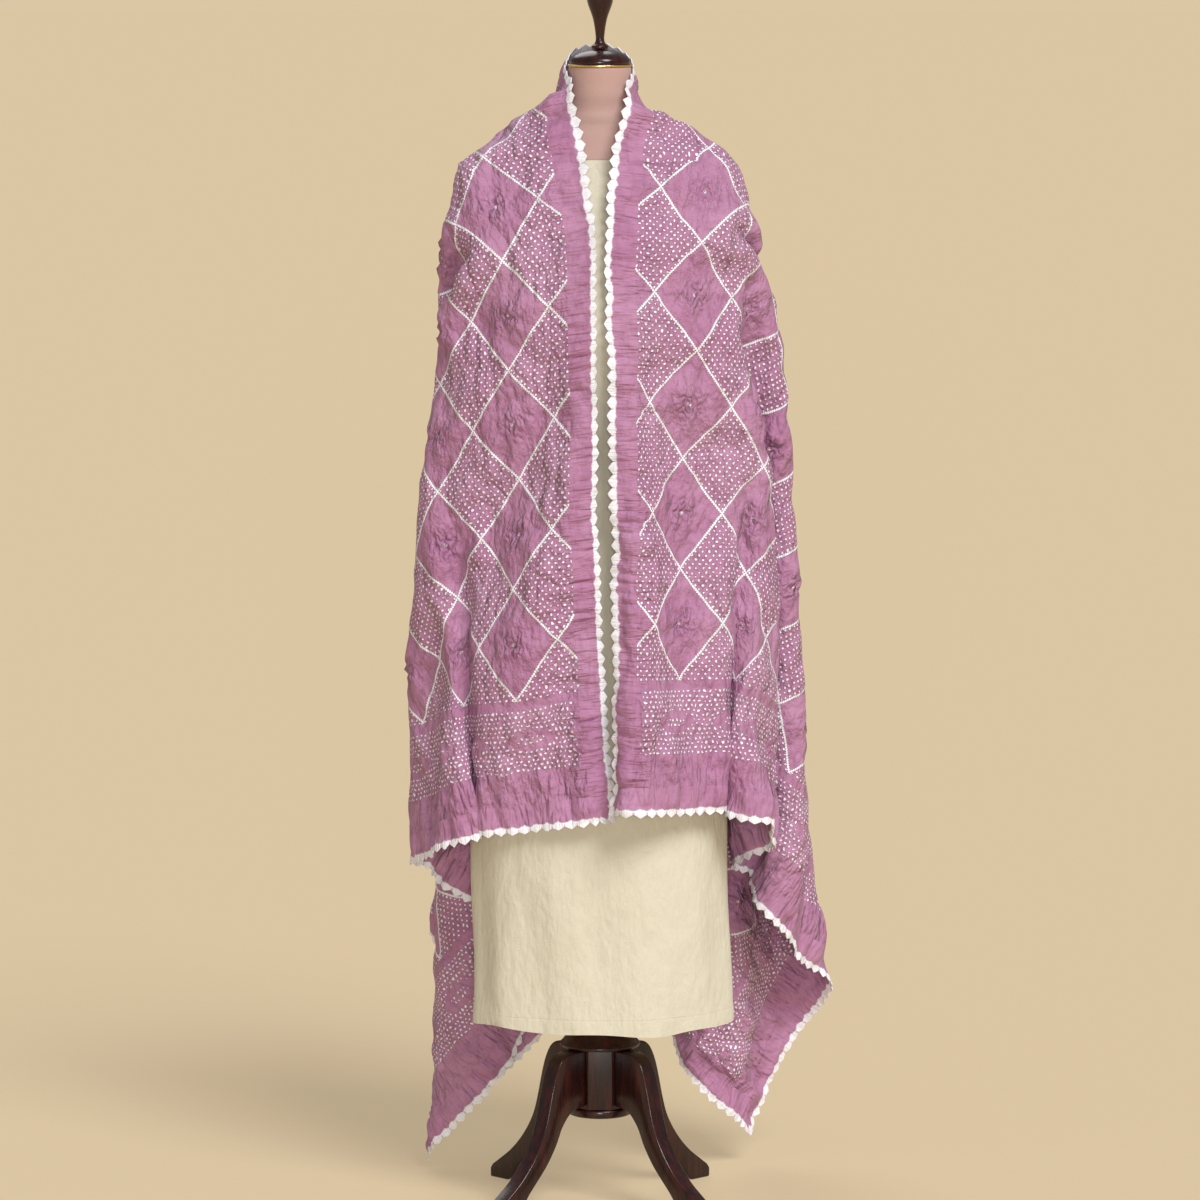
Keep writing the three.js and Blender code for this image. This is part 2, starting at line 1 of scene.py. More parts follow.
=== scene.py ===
"""A bandhani shawl on a dress form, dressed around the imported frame.

The shawl is read as a draped grid from its solid, refined into a thin cloth with wrinkles, puckers
and a scalloped edge, and dyed with a pattern that follows the flat cloth. The form and its stand are
modelled as turned and shaped pieces that stand for their solids.
"""

from __future__ import annotations

import logging
import math
from dataclasses import dataclass, field
from enum import Enum
from typing import Any, Sequence

import bpy
import numpy as np
from mathutils import Matrix, Vector
from mathutils.bvhtree import BVHTree
from mathutils.kdtree import KDTree


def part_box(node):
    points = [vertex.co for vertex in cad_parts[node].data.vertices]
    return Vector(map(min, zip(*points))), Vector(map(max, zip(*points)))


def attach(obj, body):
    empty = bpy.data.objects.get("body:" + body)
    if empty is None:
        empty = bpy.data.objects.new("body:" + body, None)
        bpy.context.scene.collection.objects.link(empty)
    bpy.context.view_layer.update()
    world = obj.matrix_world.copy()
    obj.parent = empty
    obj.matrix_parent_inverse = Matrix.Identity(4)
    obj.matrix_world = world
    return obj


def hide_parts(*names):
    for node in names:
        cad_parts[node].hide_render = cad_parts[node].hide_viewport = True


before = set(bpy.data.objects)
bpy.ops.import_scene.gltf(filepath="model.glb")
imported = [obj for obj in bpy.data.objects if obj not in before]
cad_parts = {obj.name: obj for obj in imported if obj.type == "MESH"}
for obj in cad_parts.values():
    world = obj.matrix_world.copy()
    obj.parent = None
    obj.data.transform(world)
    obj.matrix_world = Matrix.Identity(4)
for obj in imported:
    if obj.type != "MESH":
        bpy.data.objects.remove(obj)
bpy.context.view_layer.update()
LOG = logging.getLogger("shawl_scene")
# Height of the line that is sewn above the cover's lower edge
SEWN_LINE = 0.268
# Height of the point that the camera and the lights are aimed at
AIM_HEIGHT = 0.827

Colour = tuple[float, float, float]
Pairs = Sequence[tuple[float, float]]
Socket = bpy.types.NodeSocket


class Slot(Enum):
    """The record's material slots."""

    CLOTH = "cloth"
    COVER = "cover"
    NECK = "neck"
    BRASS = "brass"
    DARK_WOOD = "dark_wood"


# Shader maths


class Flow:
    """A socket of a material, used in plain arithmetic."""

    def __init__(self, recipe: Recipe, socket: Socket) -> None:
        """Wraps one output socket of the recipe's node tree."""
        self.recipe = recipe
        self.socket = socket

    def math(self, operation: str, *others: Any, first: Any = None) -> Flow:
        """Adds a Math node.

        Args:
            operation: The node's operation.
            others: The values or flows after this one.
            first: A value that stands before this one instead.

        Returns:
            The node's result.
        """
        values = (first, self) if first is not None else (self, *others)
        node = self.recipe.add("ShaderNodeMath", {"operation": operation}, dict(enumerate(values)))
        return Flow(self.recipe, node.outputs[0])

    def __add__(self, other: Any) -> Flow:
        """Sum."""
        return self.math("ADD", other)

    __radd__ = __add__

    def __sub__(self, other: Any) -> Flow:
        """Difference."""
        return self.math("SUBTRACT", other)

    def __rsub__(self, other: Any) -> Flow:
        """Difference from a number."""
        return self.math("SUBTRACT", first=other)

    def __mul__(self, other: Any) -> Flow:
        """Product."""
        return self.math("MULTIPLY", other)

    __rmul__ = __mul__

    def __truediv__(self, other: Any) -> Flow:
        """Quotient."""
        return self.math("DIVIDE", other)

    def floor(self) -> Flow:
        """Whole part, rounded down."""
        return self.math("FLOOR")

    def fract(self) -> Flow:
        """What is left above the whole part."""
        return self.math("FRACT")

    def size(self) -> Flow:
        """Absolute value."""
        return self.math("ABSOLUTE")

    def root(self) -> Flow:
        """Square root."""
        return self.math("SQRT")

    def cosine(self) -> Flow:
        """Cosine of an angle in radians."""
        return self.math("COSINE")

    def least(self, other: Any) -> Flow:
        """The smaller of two values."""
        return self.math("MINIMUM", other)

    def most(self, other: Any) -> Flow:
        """The larger of two values."""
        return self.math("MAXIMUM", other)

    def rise(self, low: float, high: float) -> Flow:
        """Adds a smooth step from 0 to 1.

        Args:
            low: Where the step starts.
            high: Where it ends.

        Returns:
            The step's value.
        """
        node = self.recipe.add(
            "ShaderNodeMapRange",
            {"interpolation_type": "SMOOTHSTEP"},
            {"Value": self, "From Min": low, "From Max": high, "To Min": 0.0, "To Max": 1.0},
        )
        return Flow(self.recipe, node.outputs[0])

    def fall(self, low: float, high: float) -> Flow:
        """A smooth step from 1 at low to 0 at high."""
        return 1.0 - self.rise(low, high)


class Recipe:
    """A material and the nodes that make it."""

    def __init__(self, name: str) -> None:
        """Starts a material with a plain Principled shader.

        Args:
            name: The material's name.
        """
        self.material = bpy.data.materials.new(name)
        self.material.use_nodes = True
        self.tree = self.material.node_tree
        self.shader = self.tree.nodes["Principled BSDF"]

    def add(self, kind: str, settings: dict[str, Any], sockets: dict[Any, Any]) -> bpy.types.Node:
        """Adds one node.

        Args:
            kind: The node's type.
            settings: Its settings, such as a Math node's operation, set first.
            sockets: Values or flows of its input sockets, by name or number.

        Returns:
            The node.
        """
        node = self.tree.nodes.new(kind)
        for key, value in settings.items():
            setattr(node, key, value)
        for key, value in sockets.items():
            self.feed(node.inputs[key], value)
        return node

    def feed(self, socket: Socket, value: Any) -> None:
        """Links a flow to a socket, or sets the socket's value.

        Args:
            socket: An input socket.
            value: A flow, an output socket, a colour or a number.
        """
        if isinstance(value, Flow):
            self.tree.links.new(value.socket, socket)
        elif isinstance(value, Socket):
            self.tree.links.new(value, socket)
        elif isinstance(value, tuple) and len(value) == 3 and socket.type == "RGBA":
            socket.default_value = (*value, 1.0)
        else:
            socket.default_value = value

    def shade(self, **values: Any) -> None:
        """Sets the shader's sockets; an underscore in a name stands for a space."""
        for name, value in values.items():
            self.feed(self.shader.inputs[name.replace("_", " ")], value)

    def split(self, socket: Socket) -> tuple[Flow, Flow, Flow]:
        """Returns the three parts of a vector."""
        node = self.add("ShaderNodeSeparateXYZ", {}, {0: socket})
        return tuple(Flow(self, out) for out in node.outputs)

    def uv(self, name: str) -> Socket:
        """Returns a UV map of the piece."""
        return self.add("ShaderNodeUVMap", {"uv_map": name}, {}).outputs[0]

    def place(self) -> Socket:
        """Returns the point on the object, in metres."""
        return self.add("ShaderNodeTexCoord", {}, {}).outputs["Object"]

    def noise(self, at: Socket, scale: float, detail: float = 3.0, rough: float = 0.55) -> Flow:
        """Returns smooth noise from 0 to 1."""
        sockets = {"Vector": at, "Scale": scale, "Detail": detail, "Roughness": rough}
        return Flow(self, self.add("ShaderNodeTexNoise", {}, sockets).outputs[0])

    def grain(self, at: Socket, scales: Sequence[float], detail: float, rough: float = 0.55) -> Flow:
        """Returns smooth noise from 0 to 1, scaled along each axis."""
        place = self.add("ShaderNodeMapping", {}, {"Vector": at, "Scale": tuple(scales)}).outputs[0]
        return self.noise(place, 1.0, detail, rough)

    def ridges(self, at: Socket, scales: Sequence[float], detail: float, rough: float = 0.55) -> Flow:
        """Returns scaled noise folded at its middle, so that it is 0 along creases."""
        return (self.grain(at, scales, detail, rough) - 0.5).size()

    def scatter(self, at: Socket, scale: float, detail: float) -> tuple[Flow, Flow]:
        """Makes two noises about 0, which shift a pattern.

        Args:
            at: The point.
            scale: How fine the noises are.
            detail: How many finer layers they have.

        Returns:
            The two noises.
        """
        noise = self.add("ShaderNodeTexNoise", {}, {"Vector": at, "Scale": scale, "Detail": detail})
        x, y, _ = self.split(noise.outputs[1])
        return x - 0.5, y - 0.5

    def mix(self, share: Flow, low: Any, high: Any) -> Socket:
        """Mixes two colours by a share."""
        return self.add("ShaderNodeMix", {"data_type": "RGBA"}, {0: share, 6: low, 7: high}).outputs[2]

    def bump(self, height: Flow, distance: float, strength: float) -> None:
        """Raises the surface by a height, in metres of distance."""
        sockets = {"Strength": strength, "Distance": distance, "Height": height}
        self.shade(Normal=self.add("ShaderNodeBump", {}, sockets).outputs[0])


# Finishes


@dataclass(frozen=True)
class ClothPlan:
    """The flat cloth in metres: its size, its edge and the lattice of its pattern."""

    length: float = 2.290
    width: float = 1.235
    border: float = 0.040
    pitch: float = 0.0172
    notch: float = 0.0052
    column: float = 0.06139
    first_column: float = 0.065
    half_row: float = 0.07385
    first_row: float = 0.185

    def insets(self, along: Flow, across: Flow) -> tuple[Flow, Flow]:
        """Returns the distances of a point from the nearer hem and from the nearer selvedge."""
        return along.least(self.length - along), across.least(self.width - across)

    def diamonds(self, hem: Any, across: Any) -> tuple[Any, Any]:
        """Finds the place of a point among the diamonds, counted along their two sides.

        Args:
            hem: The point's distance from the nearer hem.
            across: Its distance from the collar selvedge.

        Returns:
            Two counts; the diamonds' sides lie on their whole numbers.
        """
        p = (across - self.first_column) / self.column
        q = (hem - self.first_row) / self.half_row
        return (p + q - 1.0) * 0.5, (p - q - 1.0) * 0.5

    def step(self, a: Any, b: Any) -> tuple[Any, Any]:
        """Returns a step among the diamonds as metres across and along the cloth."""
        return (a + b) * self.column, (a - b) * self.half_row


@dataclass(frozen=True)
class DyedCloth:
    """Thin mauve cloth, unevenly dyed and crushed."""

    plan: ClothPlan
    mauve: Colour = (0.405, 0.168, 0.312)
    # Darker dye for the streaks, also mixed in as painted shade along creases, puckers and round the
    # dots
    deep: Colour = (0.220, 0.062, 0.145)
    pale: Colour = (0.530, 0.285, 0.445)
    white: Colour = (0.890, 0.885, 0.945)
    strength: float = 0.9

    def ground(self, recipe: Recipe, flat: Socket) -> Socket:
        """Mixes the dye, with its clouds, streaks and weave, and paints shade along the crushed cloth's
        creases.

        Args:
            recipe: The material.
            flat: The flat map.

        Returns:
            The colour.
        """
        cloud = recipe.noise(flat, 7.0, 3.0).rise(0.3, 0.7)
        streak = recipe.grain(flat, (60.0, 15.0, 1.0), 4.0, 0.6).rise(0.35, 0.75)
        weave = recipe.noise(flat, 900.0, 2.0)
        colour = recipe.mix(cloud * 0.55, self.mauve, self.pale)
        colour = recipe.mix(streak * 0.27, colour, self.deep)
        # Painted shade: the dye is darkened along the creases of the crushed cloth
        crease_shade = self.creases(recipe, flat).fall(0.0, 0.070)
        colour = recipe.mix(crease_shade * 0.22, colour, self.deep)
        return recipe.mix(weave * 0.22, colour, self.pale)

    def finish(self, recipe: Recipe, flat: Socket, colour: Socket, white: Flow) -> None:
        """Lays the undyed white over the dye and sets the cloth's shine.

        Args:
            recipe: The material.
            flat: The flat map.
            colour: The dye's colour.
            white: Where the cloth is undyed.
        """
        cloud = recipe.noise(flat, 30.0, 2.0)
        colour = recipe.mix(white * 0.96, colour, self.white)
        rough = 0.84 - cloud * 0.14 + white * 0.05
        recipe.shade(Base_Color=colour, Roughness=rough, Sheen_Weight=0.06, Sheen_Roughness=0.45)

    def creases(self, recipe: Recipe, flat: Socket) -> Flow:
        """Returns how far each point is from a crease of the crushed cloth."""
        return recipe.ridges(flat, (22.0, 34.0, 1.0), 1.5, 0.5)

    def crush(self, recipe: Recipe, flat: Socket) -> Flow:
        """Returns the small unevenness of the crushed cloth."""
        return recipe.grain(flat, (70.0, 105.0, 1.0), 2.0, 0.5)

    def gathers(self, recipe: Recipe, flat: Socket) -> tuple[Flow, Flow]:
        """Returns wrinkles that run in from the selvedges, and ones that run up from the hems."""
        gather = recipe.ridges(flat, (95.0, 17.0, 1.0), 2.0, 0.5)
        return gather, recipe.ridges(flat, (17.0, 60.0, 1.0), 2.0, 0.5)


@dataclass(frozen=True)
class Marks:
    """Masks of the lattice: lines, dots, the rings of painted shade round the dots, ties and what the
    ties pinch.
    """

    line: Flow
    dot: Flow
    tuck: Flow
    tie: Flow
    pinch: Flow


@dataclass(frozen=True)
class BandhaniDye(DyedCloth):
    """The pattern: a lattice of diamonds, dots in every other one, and a dotted border."""

    drift: float = 0.0034
    line_half: float = 0.0012
    line_blur: float = 0.0007
    beads: int = 28
    bead_rise: float = 0.0006
    dots: int = 13
    dot_radius: float = 0.0016
    dot_uneven: float = 0.0014
    dot_wander: float = 0.8
    tie_radius: float = 0.0036
    pinch_radius: float = 0.036
    tuck_shade: float = 0.48
    pinch_shade: float = 0.34
    band_low: float = 0.083
    band_high: float = 0.172
    band_row: float = 0.0063
    band_step: float = 0.0074
    band_wander: float = 1.2
    leaf_columns: float = 1.6
    leaf_point: float = 12.0
    leaf_half: float = 0.0150
    vein_half: float = 0.0060
    leaf_blur: float = 0.0015
    dot_height: float = 0.40
    line_height: float = 0.25
    pucker_height: float = 4.0
    relief: float = 0.0076

    def material(self) -> bpy.types.Material:
        """Makes the dyed cloth.

        Returns:
            The material.
        """
        recipe = Recipe("bandhani_cloth")
        flat = recipe.uv("flat")
        u, v, _ = recipe.split(flat)
        du, dv = recipe.scatter(flat, 46.0, 2.5)
        u, v = u + du * self.drift, v + dv * self.drift
        hem, side = self.plan.insets(u, v)
        row, border = self.plan.first_row, self.plan.border
        lattice = hem.rise(row - 0.004, row - 0.001) * side.rise(border - 0.002, border + 0.001)
        marks = self._lattice(recipe, hem, v, flat)
        inner = side.rise(border + 0.007, border + 0.010)
        dots = (marks.dot * lattice).most(self._band(recipe, hem, v, flat) * inner)
        lines = marks.line * lattice
        pinch = marks.pinch * lattice
        pucker = recipe.ridges(flat, (62.0, 88.0, 1.0), 1.5, 0.5)
        # Painted shade: the dye is darkened along the puckers round each tie and in the rings round the
        # dots
        shaded = pucker.fall(0.0, 0.060) * pinch * self.pinch_shade
        shaded = shaded.most(marks.tuck * lattice * self.tuck_shade)
        colour = recipe.mix(shaded, self.ground(recipe, flat), self.deep)
        self.finish(recipe, flat, colour, dots.most(lines).most(marks.tie * lattice))
        height = dots * self.dot_height + lines * self.line_height + pucker * pinch * self.pucker_height
        recipe.bump(height + self._relief(recipe, flat, hem, side), self.relief, self.strength)
        return recipe.material

    def _lattice(self, recipe: Recipe, hem: Flow, v: Flow, flat: Socket) -> Marks:
        """Draws the lattice of diamonds.

        Args:
            recipe: The material.
            hem: The distance from the nearer hem.
            v: The distance from the collar selvedge.
            flat: The flat map.

        Returns:
            The lattice's masks.
        """
        a, b = self.plan.diamonds(hem, v)
        fa, fb = a.fract(), b.fract()
        plain = ((a.floor() + b.floor()) * 0.5).fract().rise(0.2, 0.3)
        dotted = 1.0 - plain
        steep = 0.5 * math.hypot(1 / self.plan.column, 1 / self.plan.half_row)
        bead = 2 * math.pi * self.beads
        off_a = fa.least(1.0 - fa) / steep - (fb * bead).cosine() * self.bead_rise
        off_b = fb.least(1.0 - fb) / steep - (fa * bead).cosine() * self.bead_rise
        line = off_a.least(off_b).fall(self.line_half, self.line_half + self.line_blur)
        sa, sb = recipe.scatter(flat, 85.0, 1.0)
        ga = ((fa * self.dots + sa * self.dot_wander).fract() - 0.5) / self.dots
        gb = ((fb * self.dots + sb * self.dot_wander).fract() - 0.5) / self.dots
        ragged = (recipe.noise(flat, 420.0, 1.0) + recipe.noise(flat, 70.0, 1.0)) * self.dot_uneven
        off_dot = self._reach(ga, gb) - (ragged + (self.dot_radius - self.dot_uneven))
        dot = off_dot.fall(-0.0003, 0.0004) * dotted
        # Painted shade: a patchy dark ring round each dot, where the cloth tucks
        crisp = recipe.noise(flat, 260.0, 2.0).rise(0.45, 0.60)
        tuck = off_dot.fall(0.0004, 0.0026) * crisp * dotted
        petals = recipe.noise(flat, 420.0, 2.0).rise(0.42, 0.56)
        off_tie = self._reach(fa - 0.5, fb - 0.5)
        tie = off_tie.fall(self.tie_radius / 3, self.tie_radius) * petals * plain
        pinch = off_tie.fall(0.004, self.pinch_radius) * plain
        return Marks(line, dot, tuck, tie, pinch)

    def _reach(self, a: Flow, b: Flow) -> Flow:
        """Returns the distance on the cloth of a step among the diamonds."""
        across, along = self.plan.step(a, b)
        return (across * across + along * along).root()

    def _band(self, recipe: Recipe, hem: Flow, v: Flow, flat: Socket) -> Flow:
        """Draws the dotted border above the hem, with a row of plain leaves in it.

        Args:
            recipe: The material.
            hem: The distance from the nearer hem.
            v: The distance from the collar selvedge.
            flat: The flat map.

        Returns:
            The mask of its dots.
        """
        sx, sy = recipe.scatter(flat, 95.0, 1.0)
        row = (hem - self.band_low) / self.band_row + sy * self.band_wander
        step = v / self.band_step + row.floor() * 0.5 + sx * self.band_wander
        x = (step.fract() - 0.5) * self.band_step
        y = (row.fract() - 0.5) * self.band_row
        dot = (x * x + y * y).root().fall(0.0013, 0.0021)
        leaf_step = self.leaf_columns * self.plan.column
        across = (((v - self.plan.first_column) / leaf_step).fract() - 0.5) * leaf_step
        middle = 0.5 * (self.band_low + self.band_high)
        leaf = (hem - middle).size() + across * across * self.leaf_point
        vein = leaf.fall(self.vein_half, self.vein_half + self.leaf_blur)
        around = leaf.rise(self.leaf_half, self.leaf_half + self.leaf_blur).most(vein)
        zone = hem.rise(self.band_low, self.band_low + 0.002)
        zone = zone * hem.fall(self.band_high - 0.002, self.band_high)
        return dot * zone * around

    def _relief(self, recipe: Recipe, flat: Socket, hem: Flow, side: Flow) -> Flow:
        """Crushes the cloth, gathers it towards its edges and gives it its weave.

        Args:
            recipe: The material.
            flat: The flat map.
            hem: The distance from the nearer hem.
            side: The distance from the nearer selvedge.

        Returns:
            The height of the relief.
        """
        weave = recipe.noise(flat, 1500.0, 2.0)
        crisp = recipe.grain(flat, (150.0, 190.0, 1.0), 2.0, 0.6)
        broad = recipe.ridges(flat, (9.0, 17.0, 1.0), 1.0)
        gather, drawn = self.gathers(recipe, flat)
        height = self.crush(recipe, flat) * 0.75 + crisp * 0.45 + weave * 0.06
        height = height + self.creases(recipe, flat) * 3.0 + broad * 5.0
        return height + gather * side.fall(0.045, 0.090) * 2.0 + drawn * hem.fall(0.070, 0.110) * 3.0


@dataclass(frozen=True)
class BorderDye(DyedCloth):
    """The plain gathered border and the undyed scallops along the cloth's edge."""

    white: Colour = (0.880, 0.890, 0.950)
    white_depth: float = 0.0120
    white_notch: float = 0.0066
    white_ragged: float = 0.0060
    relief: float = 0.0060

    def material(self) -> bpy.types.Material:
        """Makes the border's cloth; its map counts scallops along and metres from the outline.

        Returns:
            The material.
        """
        recipe = Recipe("scalloped_border")
        edge = recipe.uv("edge")
        flat = recipe.uv("flat")
        along, inset, _ = recipe.split(edge)
        u, v, _ = recipe.split(flat)
        hem, side = self.plan.insets(u, v)
        share = (along.fract() - 0.5).size() * 2.0
        ragged = recipe.grain(edge, (9.0, 220.0, 1.0), 4.0, 0.7) - 0.5
        reach = self.white_depth - share * self.white_notch + ragged * self.white_ragged
        spot = share.rise(0.80, 0.95) * inset.fall(0.0030, 0.0045)
        white = (inset - reach).fall(-0.0011, 0.0014) * (1.0 - spot * 0.5)
        self.finish(recipe, flat, self.ground(recipe, flat), white)
        gather, drawn = self.gathers(recipe, flat)
        turned = (side - hem).rise(-0.004, 0.004)
        pulled = gather * (1.0 - turned) * 2.0 + drawn * turned * 3.0
        ribs = recipe.grain(edge, (7.0, 60.0, 1.0), 3.0, 0.6)
        weave = recipe.noise(flat, 1200.0, 2.0)
        height = (pulled + self.crush(recipe, flat) * 0.60) * (1.0 - white * 0.6)
        recipe.bump(height + ribs * white * 0.4 + weave * 0.08, self.relief, self.strength)
        return recipe.material


@dataclass(frozen=True)
class LinenCover:
    """The form's plain cream cover."""

    cream: Colour = (0.675, 0.635, 0.510)
    shade: Colour = (0.640, 0.570, 0.400)

    def material(self) -> bpy.types.Material:
        """Makes the cover's cloth, with slubs and a sewn line above its lower edge.

        Returns:
            The material.
        """
        recipe = Recipe("cream_cover")
        place = recipe.place()
        _, _, z = recipe.split(place)
        slub = recipe.grain(place, (260.0, 260.0, 1500.0), 3.0, 0.6)
        warp = recipe.grain(place, (1600.0, 1600.0, 190.0), 3.0, 0.6)
        cloud = recipe.noise(place, 5.0, 2.0)
        seam = (z - SEWN_LINE).size().fall(0.0004, 0.0016)
        uneven = (slub + warp - 1.0).size() * 0.55 + (cloud - 0.45) * 0.35
        colour = recipe.mix(uneven, self.cream, self.shade)
        colour = recipe.mix(seam * 0.15, colour, self.shade)
        recipe.shade(Base_Color=colour, Roughness=0.84 + (slub - 0.5) * 0.15, Sheen_Weight=0.15)
        wrinkle = recipe.grain(place, (14.0, 14.0, 6.0), 4.0, 0.6)
        crinkle = recipe.ridges(place, (24.0, 24.0, 15.0), 2.0)
        height = slub * 0.12 + warp * 0.12 + wrinkle * 2.4 + crinkle * 0.9 - seam * 0.04
        recipe.bump(height, 0.0060, 0.9)
        return recipe.material


@dataclass(frozen=True)
class NeckJersey:
    """The close-fitting beige cloth on the form's neck."""

    beige: Colour = (0.480, 0.320, 0.290)
    shade: Colour = (0.470, 0.270, 0.230)

    def material(self) -> bpy.types.Material:
        """Makes a fine knit.

        Returns:
            The material.
        """
        recipe = Recipe("neck_jersey")
        place = recipe.place()
        knit = recipe.grain(place, (1100.0, 1100.0, 700.0), 2.0)
        cloud = recipe.noise(place, 14.0, 2.0)
        colour = recipe.mix(knit * 0.35 + cloud * 0.25, self.beige, self.shade)
        recipe.shade(Base_Color=colour, Roughness=0.78 + (knit - 0.5) * 0.2, Sheen_Weight=0.1)
        recipe.bump(knit, 0.0008, 0.6)
        return recipe.material


@dataclass(frozen=True)
class DarkVarnish:
    """Dark reddish wood under a glossy varnish."""

    dark: Colour = (0.0110, 0.0032, 0.0030)
    red: Colour = (0.055, 0.0085, 0.0065)

    def material(self) -> bpy.types.Material:
        """Makes the varnished wood, with its grain running along the height.

        Returns:
            The material.
        """
        recipe = Recipe("dark_varnished_wood")
        place = recipe.place()
        grain = recipe.grain(place, (130.0, 130.0, 14.0), 5.0, 0.6)
        pores = recipe.grain(place, (900.0, 900.0, 60.0), 2.0)
        worn = recipe.noise(place, 26.0, 3.0)
        colour = recipe.mix(grain.rise(0.35, 0.75) * 0.8, self.dark, self.red)
        recipe.shade(Base_Color=colour, Roughness=0.20 + worn * 0.12 + pores * 0.05)
        recipe.shade(Coat_Weight=0.30, Coat_Roughness=0.12, Specular_IOR_Level=0.3)
        recipe.bump(grain * 0.5 + pores * 0.5, 0.0004, 0.5)
        return recipe.material


@dataclass(frozen=True)
class PolishedBrass:
    """Brass, with faint turning marks."""

    gold: Colour = (0.760, 0.540, 0.240)
    tarnish: Colour = (0.450, 0.290, 0.120)

    def material(self) -> bpy.types.Material:
        """Makes the brass.

        Returns:
            The material.
        """
        recipe = Recipe("polished_brass")
        place = recipe.place()
        mark = recipe.grain(place, (60.0, 60.0, 2600.0), 2.0)
        stain = recipe.noise(place, 60.0, 3.0)
        colour = recipe.mix(stain.rise(0.45, 0.8) * 0.6, self.gold, self.tarnish)
        recipe.shade(Base_Color=colour, Metallic=1.0, Roughness=0.22 + mark * 0.15)
        recipe.bump(mark, 0.0002, 0.4)
        return recipe.material


# Mesh helpers


def only(obj: bpy.types.Object) -> None:
    """Makes one object the only one selected, and active.

    Args:
        obj: The object.
    """
    bpy.ops.object.select_all(action="DESELECT")
    obj.select_set(True)
    bpy.context.view_layer.objects.active = obj


def apply_modifiers(obj: bpy.types.Object) -> None:
    """Applies every modifier of an object, in order.

    Args:
        obj: The object.
    """
    only(obj)
    for modifier in list(obj.modifiers):
        bpy.ops.object.modifier_apply(modifier=modifier.name)


def start_edit() -> bpy.types.Object:
    """Puts a fresh primitive's place into its mesh and opens it for editing, all selected.

    Returns:
        The primitive.
    """
    bpy.ops.object.transform_apply(location=True, rotation=True, scale=True)
    bpy.ops.object.mode_set(mode="EDIT")
    bpy.ops.mesh.select_all(action="SELECT")
    return bpy.context.object


def draw_out(step: Sequence[float], size: Sequence[float], centre: Sequence[float]) -> None:
    """Extrudes the selected face and scales its new end.

    Args:
        step: How far it is drawn out.
        size: The new end's scale along each axis.
        centre: The point that it is scaled about.
    """
    bpy.ops.mesh.extrude_region_move(TRANSFORM_OT_translate={"value": step})
    bpy.ops.transform.resize(value=size, center_override=centre)


def end_edit() -> None:
    """Turns all faces outwards and ends the editing."""
    bpy.ops.mesh.select_all(action="SELECT")
    bpy.ops.mesh.normals_make_consistent(inside=False)
    bpy.ops.object.mode_set(mode="OBJECT")


def round_edges(obj: bpy.types.Object, width: float, sharp: float) -> None:
    """Rounds the sharp edges of a piece and shades the rest of it smooth.

    Args:
        obj: The piece.
        width: The rounding's width in metres.
        sharp: The angle in degrees past which an edge is sharp.
    """
    rounding = obj.modifiers.new("rounding", "BEVEL")
    rounding.width = width
    rounding.segments = 3
    rounding.limit_method = "ANGLE"
    rounding.angle_limit = math.radians(sharp)
    apply_modifiers(obj)
    bpy.ops.object.shade_smooth_by_angle(angle=math.radians(sharp))


def smooth_rows(rows: Pairs, count: int) -> list[tuple[float, float]]:
    """Draws a smooth curve through rows of pairs.

    Args:
        rows: The pairs that it passes through.
        count: How many steps it takes between two rows.

    Returns:
        The pairs along the curve.
    """
    points = np.array([rows[0], *rows, rows[-1]], float)
    out: list[tuple[float, float]] = []
    for k in range(1, len(points) - 2):
        for f in np.arange(count) / count:
            p0, p1, p2, p3 = points[k - 1 : k + 3]
            bend = 2 * p1 + (p2 - p0) * f + (2 * p0 - 5 * p1 + 4 * p2 - p3) * f**2
            out.append(tuple(0.5 * (bend + (3 * p1 - p0 - 3 * p2 + p3) * f**3)))
    out.append(tuple(points[-1]))
    return out


def cells_of(number: np.ndarray) -> np.ndarray:
    """Returns the four corners of each cell of a grid of numbers."""
    corners = [number[:-1, :-1], number[1:, :-1], number[1:, 1:], number[:-1, 1:]]
    return np.stack(corners, -1).reshape(-1, 4)


def mesh_from_rows(
    name: str, places: np.ndarray, maps: dict[str, np.ndarray], closed: bool
) -> bpy.types.Object:
    """Makes a mesh of four-sided faces from rows of points.

    Args:
        name: The object's name.
        places: Points, by row and column.
        maps: UV maps, by row and column; a closed mesh's maps give the first row again at the end.
        closed: Whether the last row joins the first.

    Returns:
        The object, linked to the scene.
    """
    rows, columns = places.shape[:2]
    number = np.arange(rows * columns).reshape(rows, columns)
    if closed:
        number = np.concatenate([number, number[:1]])
    mesh = bpy.data.meshes.new(name)
    mesh.from_pydata(places.reshape(-1, 3).tolist(), [], cells_of(number).tolist())
    for key, values in maps.items():
        order = cells_of(np.arange(values.shape[0] * columns).reshape(-1, columns))
        layer = mesh.uv_layers.new(name=key)
        layer.data.foreach_set("uv", values.reshape(-1, 2)[order.ravel()].astype(np.float32).ravel())
    obj = bpy.data.objects.new(name, mesh)
    bpy.context.scene.collection.objects.link(obj)
    return obj


def centre_of(node: str) -> Vector:
    """Returns the middle of a node's box."""
    low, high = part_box(node)
    return (low + high) / 2


def search_tree(node: str) -> BVHTree:
    """Makes a search tree of a node's faces.

    Args:
        node: The node's name.

    Returns:
        The tree.
    """
    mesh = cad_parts[node].data
    mesh.calc_loop_triangles()
    faces = [tuple(triangle.vertices) for triangle in mesh.loop_triangles]
    return BVHTree.FromPolygons([vertex.co for vertex in mesh.vertices], faces)


